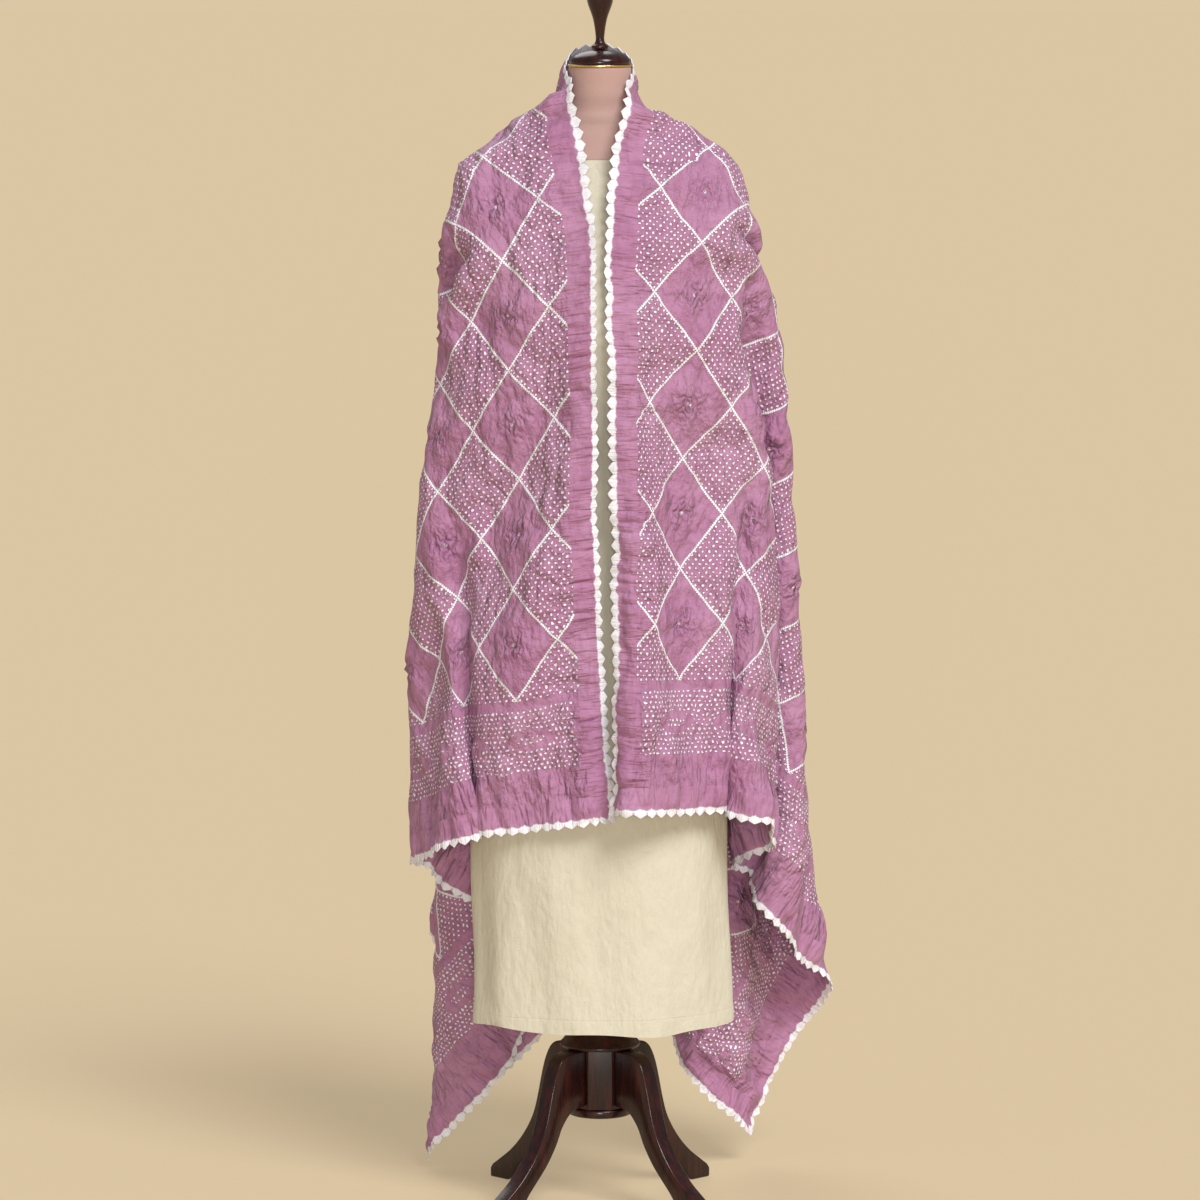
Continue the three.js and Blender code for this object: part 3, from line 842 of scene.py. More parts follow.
def settle_piece(obj: bpy.types.Object, node: str, material: bpy.types.Material) -> None:
    """Dresses a piece, makes it stand for a node and ties it to the body.

    Args:
        obj: The piece.
        node: The node that it stands for.
        material: Its finish.
    """
    obj.data.materials.clear()
    obj.data.materials.append(material)
    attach(obj, "root")
    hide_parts(node)
    LOG.info("%s stands for %s: %d faces", obj.name, node, len(obj.data.polygons))


# The dress form and its stand


@dataclass
class TurnedPiece:
    """A piece turned on the form's axis: rings of radius and height, from the lowest up."""

    name: str
    node: str
    profile: Pairs
    axis: Vector
    sides: int = 72
    bevel: float = 0.0012
    turn: float = 0.0
    sharp: float = 38.0

    def build(self) -> bpy.types.Object:
        """Models the piece from a disc, drawn up ring by ring.

        Returns:
            The piece, with its sharp edges rounded.
        """
        radius, z = self.profile[0]
        bpy.ops.object.select_all(action="DESELECT")
        bpy.ops.mesh.primitive_circle_add(
            vertices=self.sides,
            radius=radius,
            fill_type="NGON",
            location=(self.axis.x, self.axis.y, z),
            rotation=(0, 0, self.turn),
        )
        obj = start_edit()
        obj.name = obj.data.name = self.name
        for to_radius, to_z in self.profile[1:]:
            share = to_radius / radius
            draw_out((0, 0, to_z - z), (share, share, 1), (self.axis.x, self.axis.y, to_z))
            radius, z = to_radius, to_z
        end_edit()
        round_edges(obj, self.bevel, self.sharp)
        return obj


@dataclass
class CurvedLegs:
    """Four curved plank legs, set round the post; the rows are reach from the post and height."""

    axis: Vector
    count: int = 4
    flat: float = 0.0400
    toe: float = 0.165
    thickness: float = 0.024
    bevel: float = 0.0028
    sharp: float = 40.0
    slices: int = 46
    upper: Pairs = (
        (0.000, 0.2124),
        (0.030, 0.2110),
        (0.044, 0.2040),
        (0.054, 0.1880),
        (0.062, 0.1640),
        (0.070, 0.1320),
        (0.080, 0.1020),
        (0.098, 0.0730),
        (0.122, 0.0470),
        (0.150, 0.0260),
        (0.160, 0.0190),
        (0.165, 0.0120),
    )
    lower: Pairs = (
        (0.000, 0.135),
        (0.026, 0.129),
        (0.044, 0.110),
        (0.055, 0.088),
        (0.074, 0.061),
        (0.106, 0.028),
        (0.130, 0.000),
        (0.165, 0.000),
    )

    def model(self) -> bpy.types.Object:
        """Models one leg along +X from a plank end, drawn out slice by slice.

        Returns:
            The leg, with its edges rounded.
        """
        top, low = (np.array(smooth_rows(rows, 6)) for rows in (self.upper, self.lower))
        tip = [self.toe - 0.0022, self.toe]
        reach = np.concatenate([np.linspace(0, self.toe - 0.005, self.slices), tip])
        high = np.interp(reach, top[:, 0], top[:, 1])
        base = np.maximum(np.interp(reach, low[:, 0], low[:, 1]), 0)
        middle, depth = (high + base) / 2, high - base
        bpy.ops.object.select_all(action="DESELECT")
        bpy.ops.mesh.primitive_plane_add(size=1, rotation=(0, math.pi / 2, 0))
        bpy.context.object.scale = (depth[0], self.thickness, 1)
        bpy.context.object.location = (self.flat, 0, middle[0])
        obj = start_edit()
        for k in range(1, len(reach)):
            step = (reach[k] - reach[k - 1], 0, middle[k] - middle[k - 1])
            draw_out(step, (1, 1, depth[k] / depth[k - 1]), (self.flat + reach[k], 0, middle[k]))
        end_edit()
        round_edges(obj, self.bevel, self.sharp)
        return obj

    def build(self) -> list[bpy.types.Object]:
        """Models one leg and copies it to the four sides of the post.

        Returns:
            The four legs, each with its own mesh.
        """
        legs = [self.model()]
        for _ in range(1, self.count):
            legs.append(bpy.data.objects.new("leg", legs[0].data.copy()))
            bpy.context.scene.collection.objects.link(legs[-1])
        for n, leg in enumerate(legs):
            leg.name = f"curved_leg_{n + 1}"
            turn = Matrix.Rotation(math.pi / 4 + n * math.tau / self.count, 4, "Z")
            leg.data.transform(Matrix.Translation((self.axis.x, self.axis.y, 0)) @ turn)
        return legs


@dataclass
class FormCover:
    """The form's body in its cream cover, drawn up from its lower edge through the form's sections.

    A section's row is its height, its half width, its half depth and its shift to the back.
    """

    axis: Vector
    sides: int = 144
    level: float = 0.012
    seat: float = 0.050
    bevel: float = 0.003
    sharp: float = 50.0
    flatness: float = 1.5
    mean_radius: float = 0.14
    slack_top: float = 0.60
    slack_fade: float = 0.25
    slack_inset: float = 0.012
    fold: float = 0.0032
    hem_step: float = 0.0007
    rim_top: float = 0.285
    rim_fade: float = 0.049
    raised: float = 0.013
    rim_wave: float = 0.0030
    rim_ripple: float = 0.0018
    sections: Sequence[tuple[float, float, float, float]] = (
        (0.236, 0.178, 0.118, 0.000),
        (0.500, 0.176, 0.120, 0.000),
        (0.800, 0.170, 0.118, 0.000),
        (1.020, 0.150, 0.108, 0.000),
        (1.200, 0.158, 0.116, -0.010),
        (1.300, 0.176, 0.104, -0.002),
        (1.360, 0.192, 0.086, 0.004),
        (1.400, 0.190, 0.070, 0.008),
        (1.426, 0.168, 0.058, 0.010),
    )

    def build(self) -> bpy.types.Object:
        """Models the cover ring by ring, then gives it slack folds below the shawl.

        Returns:
            The cover.
        """
        rows = np.array(self.sections)
        low, high = rows[0, 0], rows[-1, 0]
        levels = np.unique(np.concatenate([np.arange(low, high, self.level), rows[:, 0]]))
        width, depth, shift = (np.interp(levels, rows[:, 0], rows[:, c]) for c in (1, 2, 3))
        x, y = self.axis.x, self.axis.y
        bpy.ops.object.select_all(action="DESELECT")
        bpy.ops.mesh.primitive_circle_add(
            vertices=self.sides, radius=1, fill_type="NGON", location=(x, y, low)
        )
        bpy.context.object.scale = (self.seat, self.seat, 1)
        obj = start_edit()
        obj.name = "cream_cover"
        draw_out((0, 0, 0), (width[0] / self.seat, depth[0] / self.seat, 1), (x, y, low))
        for k in range(1, len(levels)):
            step = (0, shift[k] - shift[k - 1], levels[k] - levels[k - 1])
            size = (width[k] / width[k - 1], depth[k] / depth[k - 1], 1)
            draw_out(step, size, (x, y + shift[k], levels[k]))
        end_edit()
        self.slacken(obj)
        round_edges(obj, self.bevel, self.sharp)
        return obj

    def slacken(self, obj: bpy.types.Object) -> None:
        """Moves the cover's lower part in and out in soft folds, with a step at its sewn hem.

        Args:
            obj: The cover, in object mode.
        """
        for vertex in obj.data.vertices:
            x, y, z = vertex.co.x - self.axis.x, vertex.co.y - self.axis.y, vertex.co.z
            angle = math.atan2(y * self.flatness, x)
            loose = min(1.0, max(0.0, (self.slack_top - z) / self.slack_fade))
            broad = math.sin(5 * angle + 0.7 + 1.3 * math.sin(9 * z))
            fold = broad + 0.6 * math.sin(11 * angle + 8 * z)
            hem = self.hem_step if z < SEWN_LINE else 0.0
            share = 1 - loose * self.slack_inset + (loose * self.fold * fold + hem) / self.mean_radius
            outside = math.hypot(x, y) > 2 * self.seat
            low = max(0.0, (self.rim_top - z) / self.rim_fade) if outside else 0.0
            uneven = self.rim_wave * math.sin(2 * angle + 0.6) + self.rim_ripple * math.sin(7 * angle)
            vertex.co.z += low * (self.raised + uneven)
            vertex.co.x = self.axis.x + x * share
            vertex.co.y = self.axis.y + y * share


@dataclass
class DressForm:
    """The form's body, neck, cap and finial, and the stand's hub and legs.

    A row of the neck is its height, its half width, its half depth and its shift to the back.
    """

    axis: Vector
    gap: float = 0.0003
    ring_low: float = 1.5493
    ring_high: float = 1.5523
    ring_radius: float = 0.0435
    cap_radius: float = 0.041
    cap_low: float = 1.5526
    cap_rim: float = 0.003
    cap_height: float = 0.020
    neck_rows: Sequence[tuple[float, float, float, float]] = (
        (1.426, 0.168, 0.058, 0.010),
        (1.455, 0.104, 0.051, 0.010),
        (1.482, 0.058, 0.047, 0.008),
        (1.512, 0.046, 0.044, 0.004),
        (1.549, 0.042, 0.042, 0.000),
    )

    def build(self) -> None:
        """Models and dresses the whole form."""
        brass, wood = PolishedBrass().material(), DarkVarnish().material()
        ring = self._ring()
        settle_piece(ring.build(), ring.node, brass)
        for piece in (self._cap(), self._finial(), self._bell(), self._post(), self._disc()):
            settle_piece(piece.build(), piece.node, wood)
        for n, leg in enumerate(CurvedLegs(self.axis).build(), start=1):
            settle_piece(leg, f"leg_{n}", wood)
        settle_piece(FormCover(self.axis).build(), "form_body", LinenCover().material())
        settle_piece(self._neck(), "form_neck", NeckJersey().material())

    def _ring(self) -> TurnedPiece:
        """Gives the thin brass ring on the neck, with rounded rims.

        Returns:
            The ring, to be built.
        """
        radius, low, high = self.ring_radius, self.ring_low, self.ring_high
        rim, lip = radius - 0.0007, 0.0006
        profile = [(rim, low), (radius, low + lip), (radius, high - lip), (rim, high)]
        return TurnedPiece("brass_neck_ring", "neck_ring", profile, self.axis, bevel=0.0003)

    def _cap(self) -> TurnedPiece:
        """Gives the dark dome, with a small step at its rim.

        Returns:
            The dome, to be built.
        """
        radius, low, rim = self.cap_radius, self.cap_low, self.cap_rim
        profile = [(radius - 0.0005, low), (radius, low + 0.0010), (radius, low + rim)]
        for angle in np.radians(np.arange(6, 88, 6)):
            rise = rim + (self.cap_height - rim) * math.sin(angle)
            profile.append((radius * math.cos(angle), low + rise))
        return TurnedPiece("neck_cap_dome", "neck_cap", profile, self.axis, bevel=0.0004)

    def _finial(self) -> TurnedPiece:
        """Gives the turned finial, from its flange to its rounded top.

        Returns:
            The finial, to be built.
        """
        base = self.cap_low + self.cap_height + self.gap
        rows = [(0.0115, 0.004), (0.0065, 0.009), (0.0060, 0.018), (0.0095, 0.040), (0.0165, 0.060)]
        rows += [(0.0175, 0.070), (0.0140, 0.084), (0.0060, 0.093)]
        profile = [(0.0108, base), (0.0115, base + 0.0008)]
        profile += [(radius, base + rise) for radius, rise in smooth_rows(rows, 5)]
        return TurnedPiece("turned_finial", "finial", profile, self.axis, sides=48, bevel=0.0006)

    def _bell(self) -> TurnedPiece:
        """Gives the bell-shaped collar under the form.

        Returns:
            The collar, to be built.
        """
        rim = [(0.0535, 0.2130), (0.0550, 0.2145), (0.0550, 0.2175)]
        profile = [*rim, *smooth_rows([(0.0525, 0.2200), (0.0470, 0.2270), (0.0430, 0.2357)], 4)]
        return TurnedPiece("hub_bell", "hub_collar", profile, self.axis, bevel=0.0008)

    def _post(self) -> TurnedPiece:
        """Gives the eight-sided post that the legs stand against."""
        profile = [(0.0420, 0.1290), (0.0430, 0.1300), (0.0430, 0.2117), (0.0420, 0.2127)]
        return TurnedPiece("hub_post_flats", "hub_post", profile, self.axis, 8, 0.0015, math.pi / 8)

    def _disc(self) -> TurnedPiece:
        """Gives the disc under the post.

        Returns:
            The disc, to be built.
        """
        profile = [(0.0410, 0.1180), (0.0430, 0.1190), (0.0440, 0.1210)]
        profile += [(0.0440, 0.1270), (0.0434, 0.1287)]
        return TurnedPiece("hub_disc", "hub_foot", profile, self.axis, bevel=0.0006)

    def _neck(self) -> bpy.types.Object:
        """Models the neck from round rings, and presses them to the form's oval sections.

        Returns:
            The neck.
        """
        height, wide, deep, back = np.array(self.neck_rows).T
        rows = [(width, max(z, height[0] + self.gap)) for z, width in zip(height, wide)]
        profile = smooth_rows(rows, 5)
        obj = TurnedPiece("form_neck_sleeve", "form_neck", profile, self.axis, 96, 0.0008).build()
        for vertex in obj.data.vertices:
            z = vertex.co.z
            share = np.interp(z, height, deep) / np.interp(z, height, wide)
            vertex.co.y = self.axis.y + (vertex.co.y - self.axis.y) * share + np.interp(z, height, back)
        return obj


# The shawl


class Ripple:
    """Smooth noise on a plane, from -1 to 1, the same in every run."""

    def __init__(self, seed: int) -> None:
        """Fills a table of heights from a seed."""
        self.table = np.random.default_rng(seed).uniform(-1, 1, (256, 256))

    def __call__(self, x: np.ndarray, y: np.ndarray) -> np.ndarray:
        """Finds the noise at points of the plane.

        Args:
            x: The points' first coordinates, in cells of the noise.
            y: Their second ones.

        Returns:
            The heights.
        """
        ix, iy = np.floor(x).astype(int), np.floor(y).astype(int)
        fx, fy = x - ix, y - iy
        fx, fy = fx * fx * (3 - 2 * fx), fy * fy * (3 - 2 * fy)
        corner = [self.table[(ix + a) & 255, (iy + b) & 255] for a in (0, 1) for b in (0, 1)]
        low = corner[0] + (corner[1] - corner[0]) * fy
        high = corner[2] + (corner[3] - corner[2]) * fy
        return low + (high - low) * fx


@dataclass
class DrapedGrid:
    """The middle of the shawl's solid, as a grid of points on the flat cloth."""

    cells_along: int = 74
    cells_across: int = 37
    thickness: float = 0.002
    steps_per_metre: float = 2e5
    corner_search: int = 8
    points: np.ndarray = field(default_factory=lambda: np.zeros((0, 0, 3)))

    def read(self, node: bpy.types.Object) -> DrapedGrid:
        """Finds the grid in the solid's loose triangles.

        Args:
            node: The shawl's solid.

        Returns:
            This grid, from the left hem to the right and from the collar selvedge outwards.
        """
        mesh = node.data
        places = np.zeros(len(mesh.vertices) * 3)
        mesh.vertices.foreach_get("co", places)
        mesh.calc_loop_triangles()
        corners = np.zeros(len(mesh.loop_triangles) * 3, np.int32)
        mesh.loop_triangles.foreach_get("vertices", corners)
        rounded = np.round(places.reshape(-1, 3) * self.steps_per_metre).astype(np.int64)
        _, first, merged = np.unique(rounded, axis=0, return_index=True, return_inverse=True)
        middle, place = self._pair_faces(places.reshape(-1, 3)[first])
        triangles = np.sort(middle[merged.reshape(-1)[corners]].reshape(-1, 3), axis=1)
        whole = (triangles[:, 0] < triangles[:, 1]) & (triangles[:, 1] < triangles[:, 2])
        triangles = np.unique(triangles[whole], axis=0)
        self.points = place[self._walk(triangles, place)]
        return self

    def _pair_faces(self, corners: np.ndarray) -> tuple[np.ndarray, np.ndarray]:
        """Pairs each point of the outer face with the one behind it, the likeliest pairs first.

        Args:
            corners: The solid's points, each once.

        Returns:
            The number of each point's pair, and the middle of each pair.
        """
        tree = KDTree(len(corners))
        for k, corner in enumerate(corners):
            tree.insert(corner, k)
        tree.balance()
        pair = np.full(len(corners), -1)
        places: list[np.ndarray] = []
        guesses = [
            (abs(distance - self.thickness), k, other)
            for k, corner in enumerate(corners)
            for _, other, distance in tree.find_n(corner, 4)
            if other > k
        ]
        for _, k, other in sorted(guesses):
            if pair[k] < 0 and pair[other] < 0:
                pair[k] = pair[other] = len(places)
                places.append((corners[k] + corners[other]) / 2)
        return pair, np.array(places)

    def _walk(self, triangles: np.ndarray, place: np.ndarray) -> np.ndarray:
        """Walks the triangulated sheet row by row from its edge.

        Args:
            triangles: The sheet's triangles.
            place: Its points.

        Returns:
            The points' numbers as a grid.
        """
        beside: dict[tuple[int, int], list[int]] = {}
        for n, (a, b, c) in enumerate(triangles.tolist()):
            for edge in ((a, b), (b, c), (a, c)):
                beside.setdefault(edge, []).append(n)
        rim: dict[int, list[int]] = {}
        for (a, b), users in beside.items():
            if len(users) == 1:
                rim.setdefault(a, []).append(b)
                rim.setdefault(b, []).append(a)
        start = int(np.argmin(place[:, 2] + (place[:, 0] > 0) * 9))
        loop = [start, rim[start][0]]
        while len(loop) < len(rim):
            here, ahead = loop[-2], rim[loop[-1]]
            loop.append(ahead[0] if ahead[1] == here else ahead[1])
        for turned in (loop, [loop[0], *loop[:0:-1]]):
            for shift in sorted(range(-self.corner_search, self.corner_search + 1), key=abs):
                grid = self._fill(turned[shift:] + turned[:shift], triangles, beside)
                if grid is not None:
                    return grid
        raise ValueError("the shawl's grid was not found")

    def _fill(self, loop: list[int], triangles: np.ndarray, beside: dict) -> np.ndarray | None:
        """Fills the grid from its rim, cell by cell.

        Args:
            loop: The rim's points from the left hem's outer corner, along the hem first.
            triangles: The sheet's triangles.
            beside: The triangles at each edge.

        Returns:
            The grid of point numbers, or nothing if the rim doesn't start at a corner.
        """
        used: set[int] = set()

        def third(a: int, b: int) -> int:
            """Finds the far corner of the unused triangle on an edge, and uses it.

            Args:
                a: One end of the edge.
                b: Its other end.

            Returns:
                The corner's number, or -1 if no triangle is left there.
            """
            for n in beside.get((min(a, b), max(a, b)), []):
                if n not in used:
                    used.add(n)
                    return int(sum(triangles[n]) - a - b)
            return -1

        side = self.cells_across
        grid = np.zeros((self.cells_along + 1, side + 1), int)
        grid[0] = loop[side::-1]
        grid[:, 0] = loop[side : side + self.cells_along + 1]
        for i in range(self.cells_along):
            for j in range(side):
                a, b, d = (int(k) for k in (grid[i, j], grid[i, j + 1], grid[i + 1, j]))
                far = third(a, b)
                if far == d:
                    far = third(b, d)
                elif third(a, far) != d:
                    return None
                if far < 0:
                    return None
                grid[i + 1, j + 1] = far
        return grid


@dataclass(frozen=True)
class Waves:
    """Waves in the cloth: their height, and their size along and across it, in metres."""

    height: float
    along: float
    across: float

    def at(self, ripple: Ripple, s: np.ndarray, t: np.ndarray) -> np.ndarray:
        """Returns the waves' noise, from -1 to 1, at points of the flat cloth."""
        return ripple(s / self.along, t / self.across)


@dataclass(frozen=True)
class EdgeFolds:
    """Folds that run into the cloth from its edges: sharp ones, and broad ones laid over them.

    Both kinds have a spacing along the edge and a length into the cloth, in metres. Their starts are
    places in the noise that shapes them.
    """

    height: float
    spacing: float
    length: float
    broad_share: float
    broad_spacing: float
    broad_length: float
    reach: float
    fade: float
    least: float
    start: float = 0.0
    broad_start: float = 0.0
    hold: float = 0.020
    sharpness: float = 1.7
    sunk: float = 0.5

    def at(
        self, ripples: Sequence[Ripple], beside: np.ndarray, into: np.ndarray, inset: np.ndarray
    ) -> np.ndarray:
        """Works out the folds' heights.

        Args:
            ripples: The noises of the sharp and of the broad folds.
            beside: The points' distances along the edge.
            into: Their distances along the folds.
            inset: Their distances from the nearer edge.

        Returns:
            Heights in metres.
        """
        sharp = ripples[0](beside / self.spacing + self.start, into / self.length)
        broad = ripples[1](beside / self.broad_spacing + self.broad_start, into / self.broad_length)
        folds = self.sharpness * np.abs(sharp) - self.sunk
        folds += self.broad_share * broad
        strength = np.clip((self.reach - inset) / self.fade, 0, 1)
        return self.height * folds * (strength * np.clip(inset / self.hold, self.least, 1))


@dataclass(frozen=True)
class SheetSpacing:
    """The spacing of the sheet's points in metres, and the stretches of the cloth that it holds for."""

    back_half: float = 0.22
    front_band: float = 0.100
    panel: float = 0.600
    outer_band: float = 0.060
    fine: float = 0.0060
    behind: float = 0.011
    on_panel: float = 0.0086
    on_side: float = 0.0112
    outside: float = 0.0080


@dataclass
class Shawl:
    """The shawl: a thin sheet with wrinkles, and its gathered border with scallops.

    Points of the flat cloth are metres from the left hem and metres from the collar selvedge. The
    heights of the wrinkles are in metres too.
    """

    grid: DrapedGrid
    form: Sequence[BVHTree]
    axis: Vector
    plan: ClothPlan = field(default_factory=ClothPlan)
    thickness: float = 0.0012
    keep_off: float = 0.0022
    near_form: float = 0.03
    smoothing: float = 0.45
    spacing: SheetSpacing = SheetSpacing()
    lean: float = 0.010
    lean_slope: float = 0.6
    lean_depth: float = 0.075
    lean_share: Pairs = ((0.15, 1.0), (0.35, 0.7), (0.90, 0.3), (1.10, 0.0))
    sway: float = 0.0034
    sway_length: float = 0.042
    sway_start: float = 90.0
    sway_depth: float = 0.10
    sink: float = 0.0018
    soft: Waves = Waves(0.0020, 0.090, 0.055)
    crush: Waves = Waves(0.0056, 0.055, 0.030)
    crumple: Waves = Waves(0.0012, 0.024, 0.021)
    gathers: EdgeFolds = EdgeFolds(
        height=0.0040,
        spacing=0.0135,
        length=0.052,
        broad_share=0.7,
        broad_spacing=0.030,
        broad_length=0.075,
        broad_start=7.0,
        reach=0.092,
        fade=0.056,
        least=0.25,
    )
    pleats: EdgeFolds = EdgeFolds(
        height=0.0072,
        spacing=0.027,
        length=0.130,
        start=40.0,
        broad_share=0.6,
        broad_spacing=0.050,
        broad_length=0.140,
        reach=0.120,
        fade=0.045,
        least=0.35,
    )
    swell: float = 0.0032
    swell_radius: float = 0.045
    tuck: float = 0.0060
    tuck_radius: float = 0.009
    ray: float = 0.0026
    ray_radius: float = 0.030
    knot_radius: float = 0.008
    petal: float = 0.0008
    petal_from: float = 0.6
    petal_span: float = 0.5
    edge_rows: Sequence[float] = (0.0, 0.16, 0.32, 0.47, 0.58, 0.67, 0.75, 0.83, 0.90, 0.96, 1.0)
    scallop_steps: int = 8
    scallop_uneven: float = 0.35
    wide: Ripple = field(default_factory=lambda: Ripple(11))
    fine: Ripple = field(default_factory=lambda: Ripple(23))
    drawn: Ripple = field(default_factory=lambda: Ripple(37))
    cut: tuple[np.ndarray, np.ndarray, np.ndarray] | None = None

    def base(self, s: np.ndarray, t: np.ndarray) -> np.ndarray:
        """Finds the smooth drape at points of the flat cloth.

        Args:
            s: Metres from the left hem.
            t: Metres from the collar selvedge.

        Returns:
            Points in space.
        """
        padded = np.pad(self.grid.points, ((1, 1), (1, 1), (0, 0)), mode="reflect", reflect_type="odd")
        ki, wi = self._weights(s / self.plan.length, self.grid.cells_along)
        kj, wj = self._weights(t / self.plan.width, self.grid.cells_across)
        out = np.zeros((*np.shape(s), 3))
        for a in range(4):
            for b in range(4):
                out += (wi[a] * wj[b])[..., None] * padded[ki + a, kj + b]
        return out

    def _weights(self, share: np.ndarray, cells: int) -> tuple[np.ndarray, list[np.ndarray]]:
        """Weighs the four control points round each point, between a soft curve and an exact one.

        Args:
            share: The points' places along one side of the grid, from 0 to 1.
            cells: How many cells that side has.

        Returns:
            Each point's cell, and the four weights.
        """
        x = share * cells
        k = np.clip(np.floor(x).astype(int), 0, cells - 1)
        f = x - k
        soft = [(1 - f) ** 3, 3 * f**3 - 6 * f**2 + 4, -3 * f**3 + 3 * f**2 + 3 * f + 1, f**3]
        exact = [-(f**3) + 2 * f**2 - f, 3 * f**3 - 5 * f**2 + 2, -3 * f**3 + 4 * f**2 + f, f**3 - f**2]
        smooth = self.smoothing
        return k, [smooth * a / 6 + (1 - smooth) * b / 2 for a, b in zip(soft, exact)]

    def normal(self, s: np.ndarray, t: np.ndarray) -> np.ndarray:
        """Finds the direction that the grid faces at points of the flat cloth.

        Args:
            s: Metres from the left hem.
            t: Metres from the collar selvedge.

        Returns:
            Directions of length 1.
        """
        step = 0.004
        along = self.base(s + step, t) - self.base(s - step, t)
        across = self.base(s, t + step) - self.base(s, t - step)
        out = np.cross(along, across)
        return out / np.linalg.norm(out, axis=-1, keepdims=True)

    def wrinkle(self, s: np.ndarray, t: np.ndarray) -> np.ndarray:
        """Works out how far the cloth stands off its smooth drape.

        Args:
            s: Metres from the left hem.
            t: Metres from the collar selvedge.

        Returns:
            Heights along the cloth's outward direction.
        """
        hem = np.minimum(s, self.plan.length - s)
        side = np.minimum(t, self.plan.width - t)
        height = self.soft.height * self.soft.at(self.wide, s, t) - self.sink
        height += self.crush.height * np.abs(self.crush.at(self.fine, s, t))
        height += self.crumple.height * self.crumple.at(self.fine, s, t)
        ripples = (self.drawn, self.fine)
        height = height + self.gathers.at(ripples, s, t, side) + self.pleats.at(ripples, t, s, hem)
        return height + self.tied(hem, t)

    def tied(self, hem: np.ndarray, t: np.ndarray) -> np.ndarray:
        """Swells each plain diamond, with a star of wrinkles round its tie.

        Args:
            hem: Metres from the nearer hem.
            t: Metres from the collar selvedge.

        Returns:
            Heights along the cloth's outward direction.
        """
        a, b = self.plan.diamonds(hem, t)
        plain = (np.floor(a) + np.floor(b)) % 2 == 1
        x, y = self.plan.step(a - np.floor(a) - 0.5, b - np.floor(b) - 0.5)
        reach = np.hypot(x, y)
        turn = np.arctan2(y, x) + 0.9 * np.floor(a) + 1.7 * np.floor(b)
        star = np.cos(5 * turn) + 0.6 * np.cos(8 * turn + 1)
        swell = self.swell * np.clip(1 - (reach / self.swell_radius) ** 2, 0, 1)
        tuck = self.tuck * np.exp(-((reach / self.tuck_radius) ** 2))
        rays = self.ray * star * np.exp(-((reach / self.ray_radius) ** 2))
        rays = rays * np.clip(reach / self.knot_radius, 0, 1)
        inside = (hem > self.plan.first_row) & (np.minimum(t, self.plan.width - t) > self.plan.border)
        return np.where(plain & inside, swell - tuck + rays, 0)

    def surface(self, s: np.ndarray, t: np.ndarray, lift: np.ndarray | float = 0.0) -> np.ndarray:
        """Finds the finished cloth at points of the flat cloth, kept clear of the form.

        Args:
            s: Metres from the left hem.
            t: Metres from the collar selvedge.
            lift: Extra height along the cloth's outward direction.

        Returns:
            Points in space.
        """
        height = self._outward() * (self.wrinkle(s, t) + lift)
        sway = self.sway * self.wide(s / self.sway_length + self.sway_start, 0 * t + 0.5)
        inner = np.clip(1 - t / self.sway_depth, 0, 1)
        outer = np.clip(1 - (self.plan.width - t) / self.sway_depth, 0, 1)
        drawn_in = t + sway * (inner - outer)
        places = self.base(s, drawn_in) + self.normal(s, drawn_in) * height[..., None]
        away, share = zip(*self.lean_share)
        leant = np.clip(1 - t / self.lean_depth, 0, 1) ** 2
        leant = leant * np.interp(np.abs(s - self.plan.length / 2), away, share)
        aside = places[..., 0] - self.axis.x
        places[..., 0] -= np.clip(self.lean_slope * aside, -self.lean, self.lean) * leant
        return self._clear(places)

    def _outward(self) -> float:
        """Tests which way the grid faces, on a front panel.

        Returns:
            1 if the grid's own direction points away from the form, and -1 if it doesn't.
        """
        s, t = np.array([0.75]), np.array([0.12])
        point, normal = self.base(s, t)[0], self.normal(s, t)[0]
        return 1.0 if normal[1] * (point[1] - self.axis.y) > 0 else -1.0

    def _clear(self, places: np.ndarray) -> np.ndarray:
        """Pushes points out of the form, to the cloth's distance from it.

        Args:
            places: Points in space.

        Returns:
            The points, clear of the form.
        """
        flat = places.reshape(-1, 3).copy()
        for tree in self.form:
            for k, point in enumerate(flat):
                near, facing, _, _ = tree.find_nearest(Vector(point), self.near_form)
                if near is None:
                    continue
                height = (Vector(point) - near).dot(facing)
                if height < self.keep_off:
                    flat[k] = point + np.array(facing) * (self.keep_off - height)
        return flat.reshape(places.shape)

    def build(self) -> tuple[bpy.types.Object, bpy.types.Object]:
        """Makes the sheet, and then the edge that starts on its rim."""
        return self._sheet(), self._edge()

    @staticmethod
    def _spread(stretches: Sequence[tuple[float, float, float]]) -> np.ndarray:
        """Places points along a side, at a spacing that changes by stretches of it.

        Args:
            stretches: The start, the end and the spacing of each stretch.

        Returns:
            The points' distances along the side.
        """
        out: list[np.ndarray] = []
        for low, high, step in stretches:
            count = max(2, int(round((high - low) / step)) + 1)
            out.append(np.linspace(low, high, count)[:-1])
        return np.concatenate([*out, [stretches[-1][1]]])

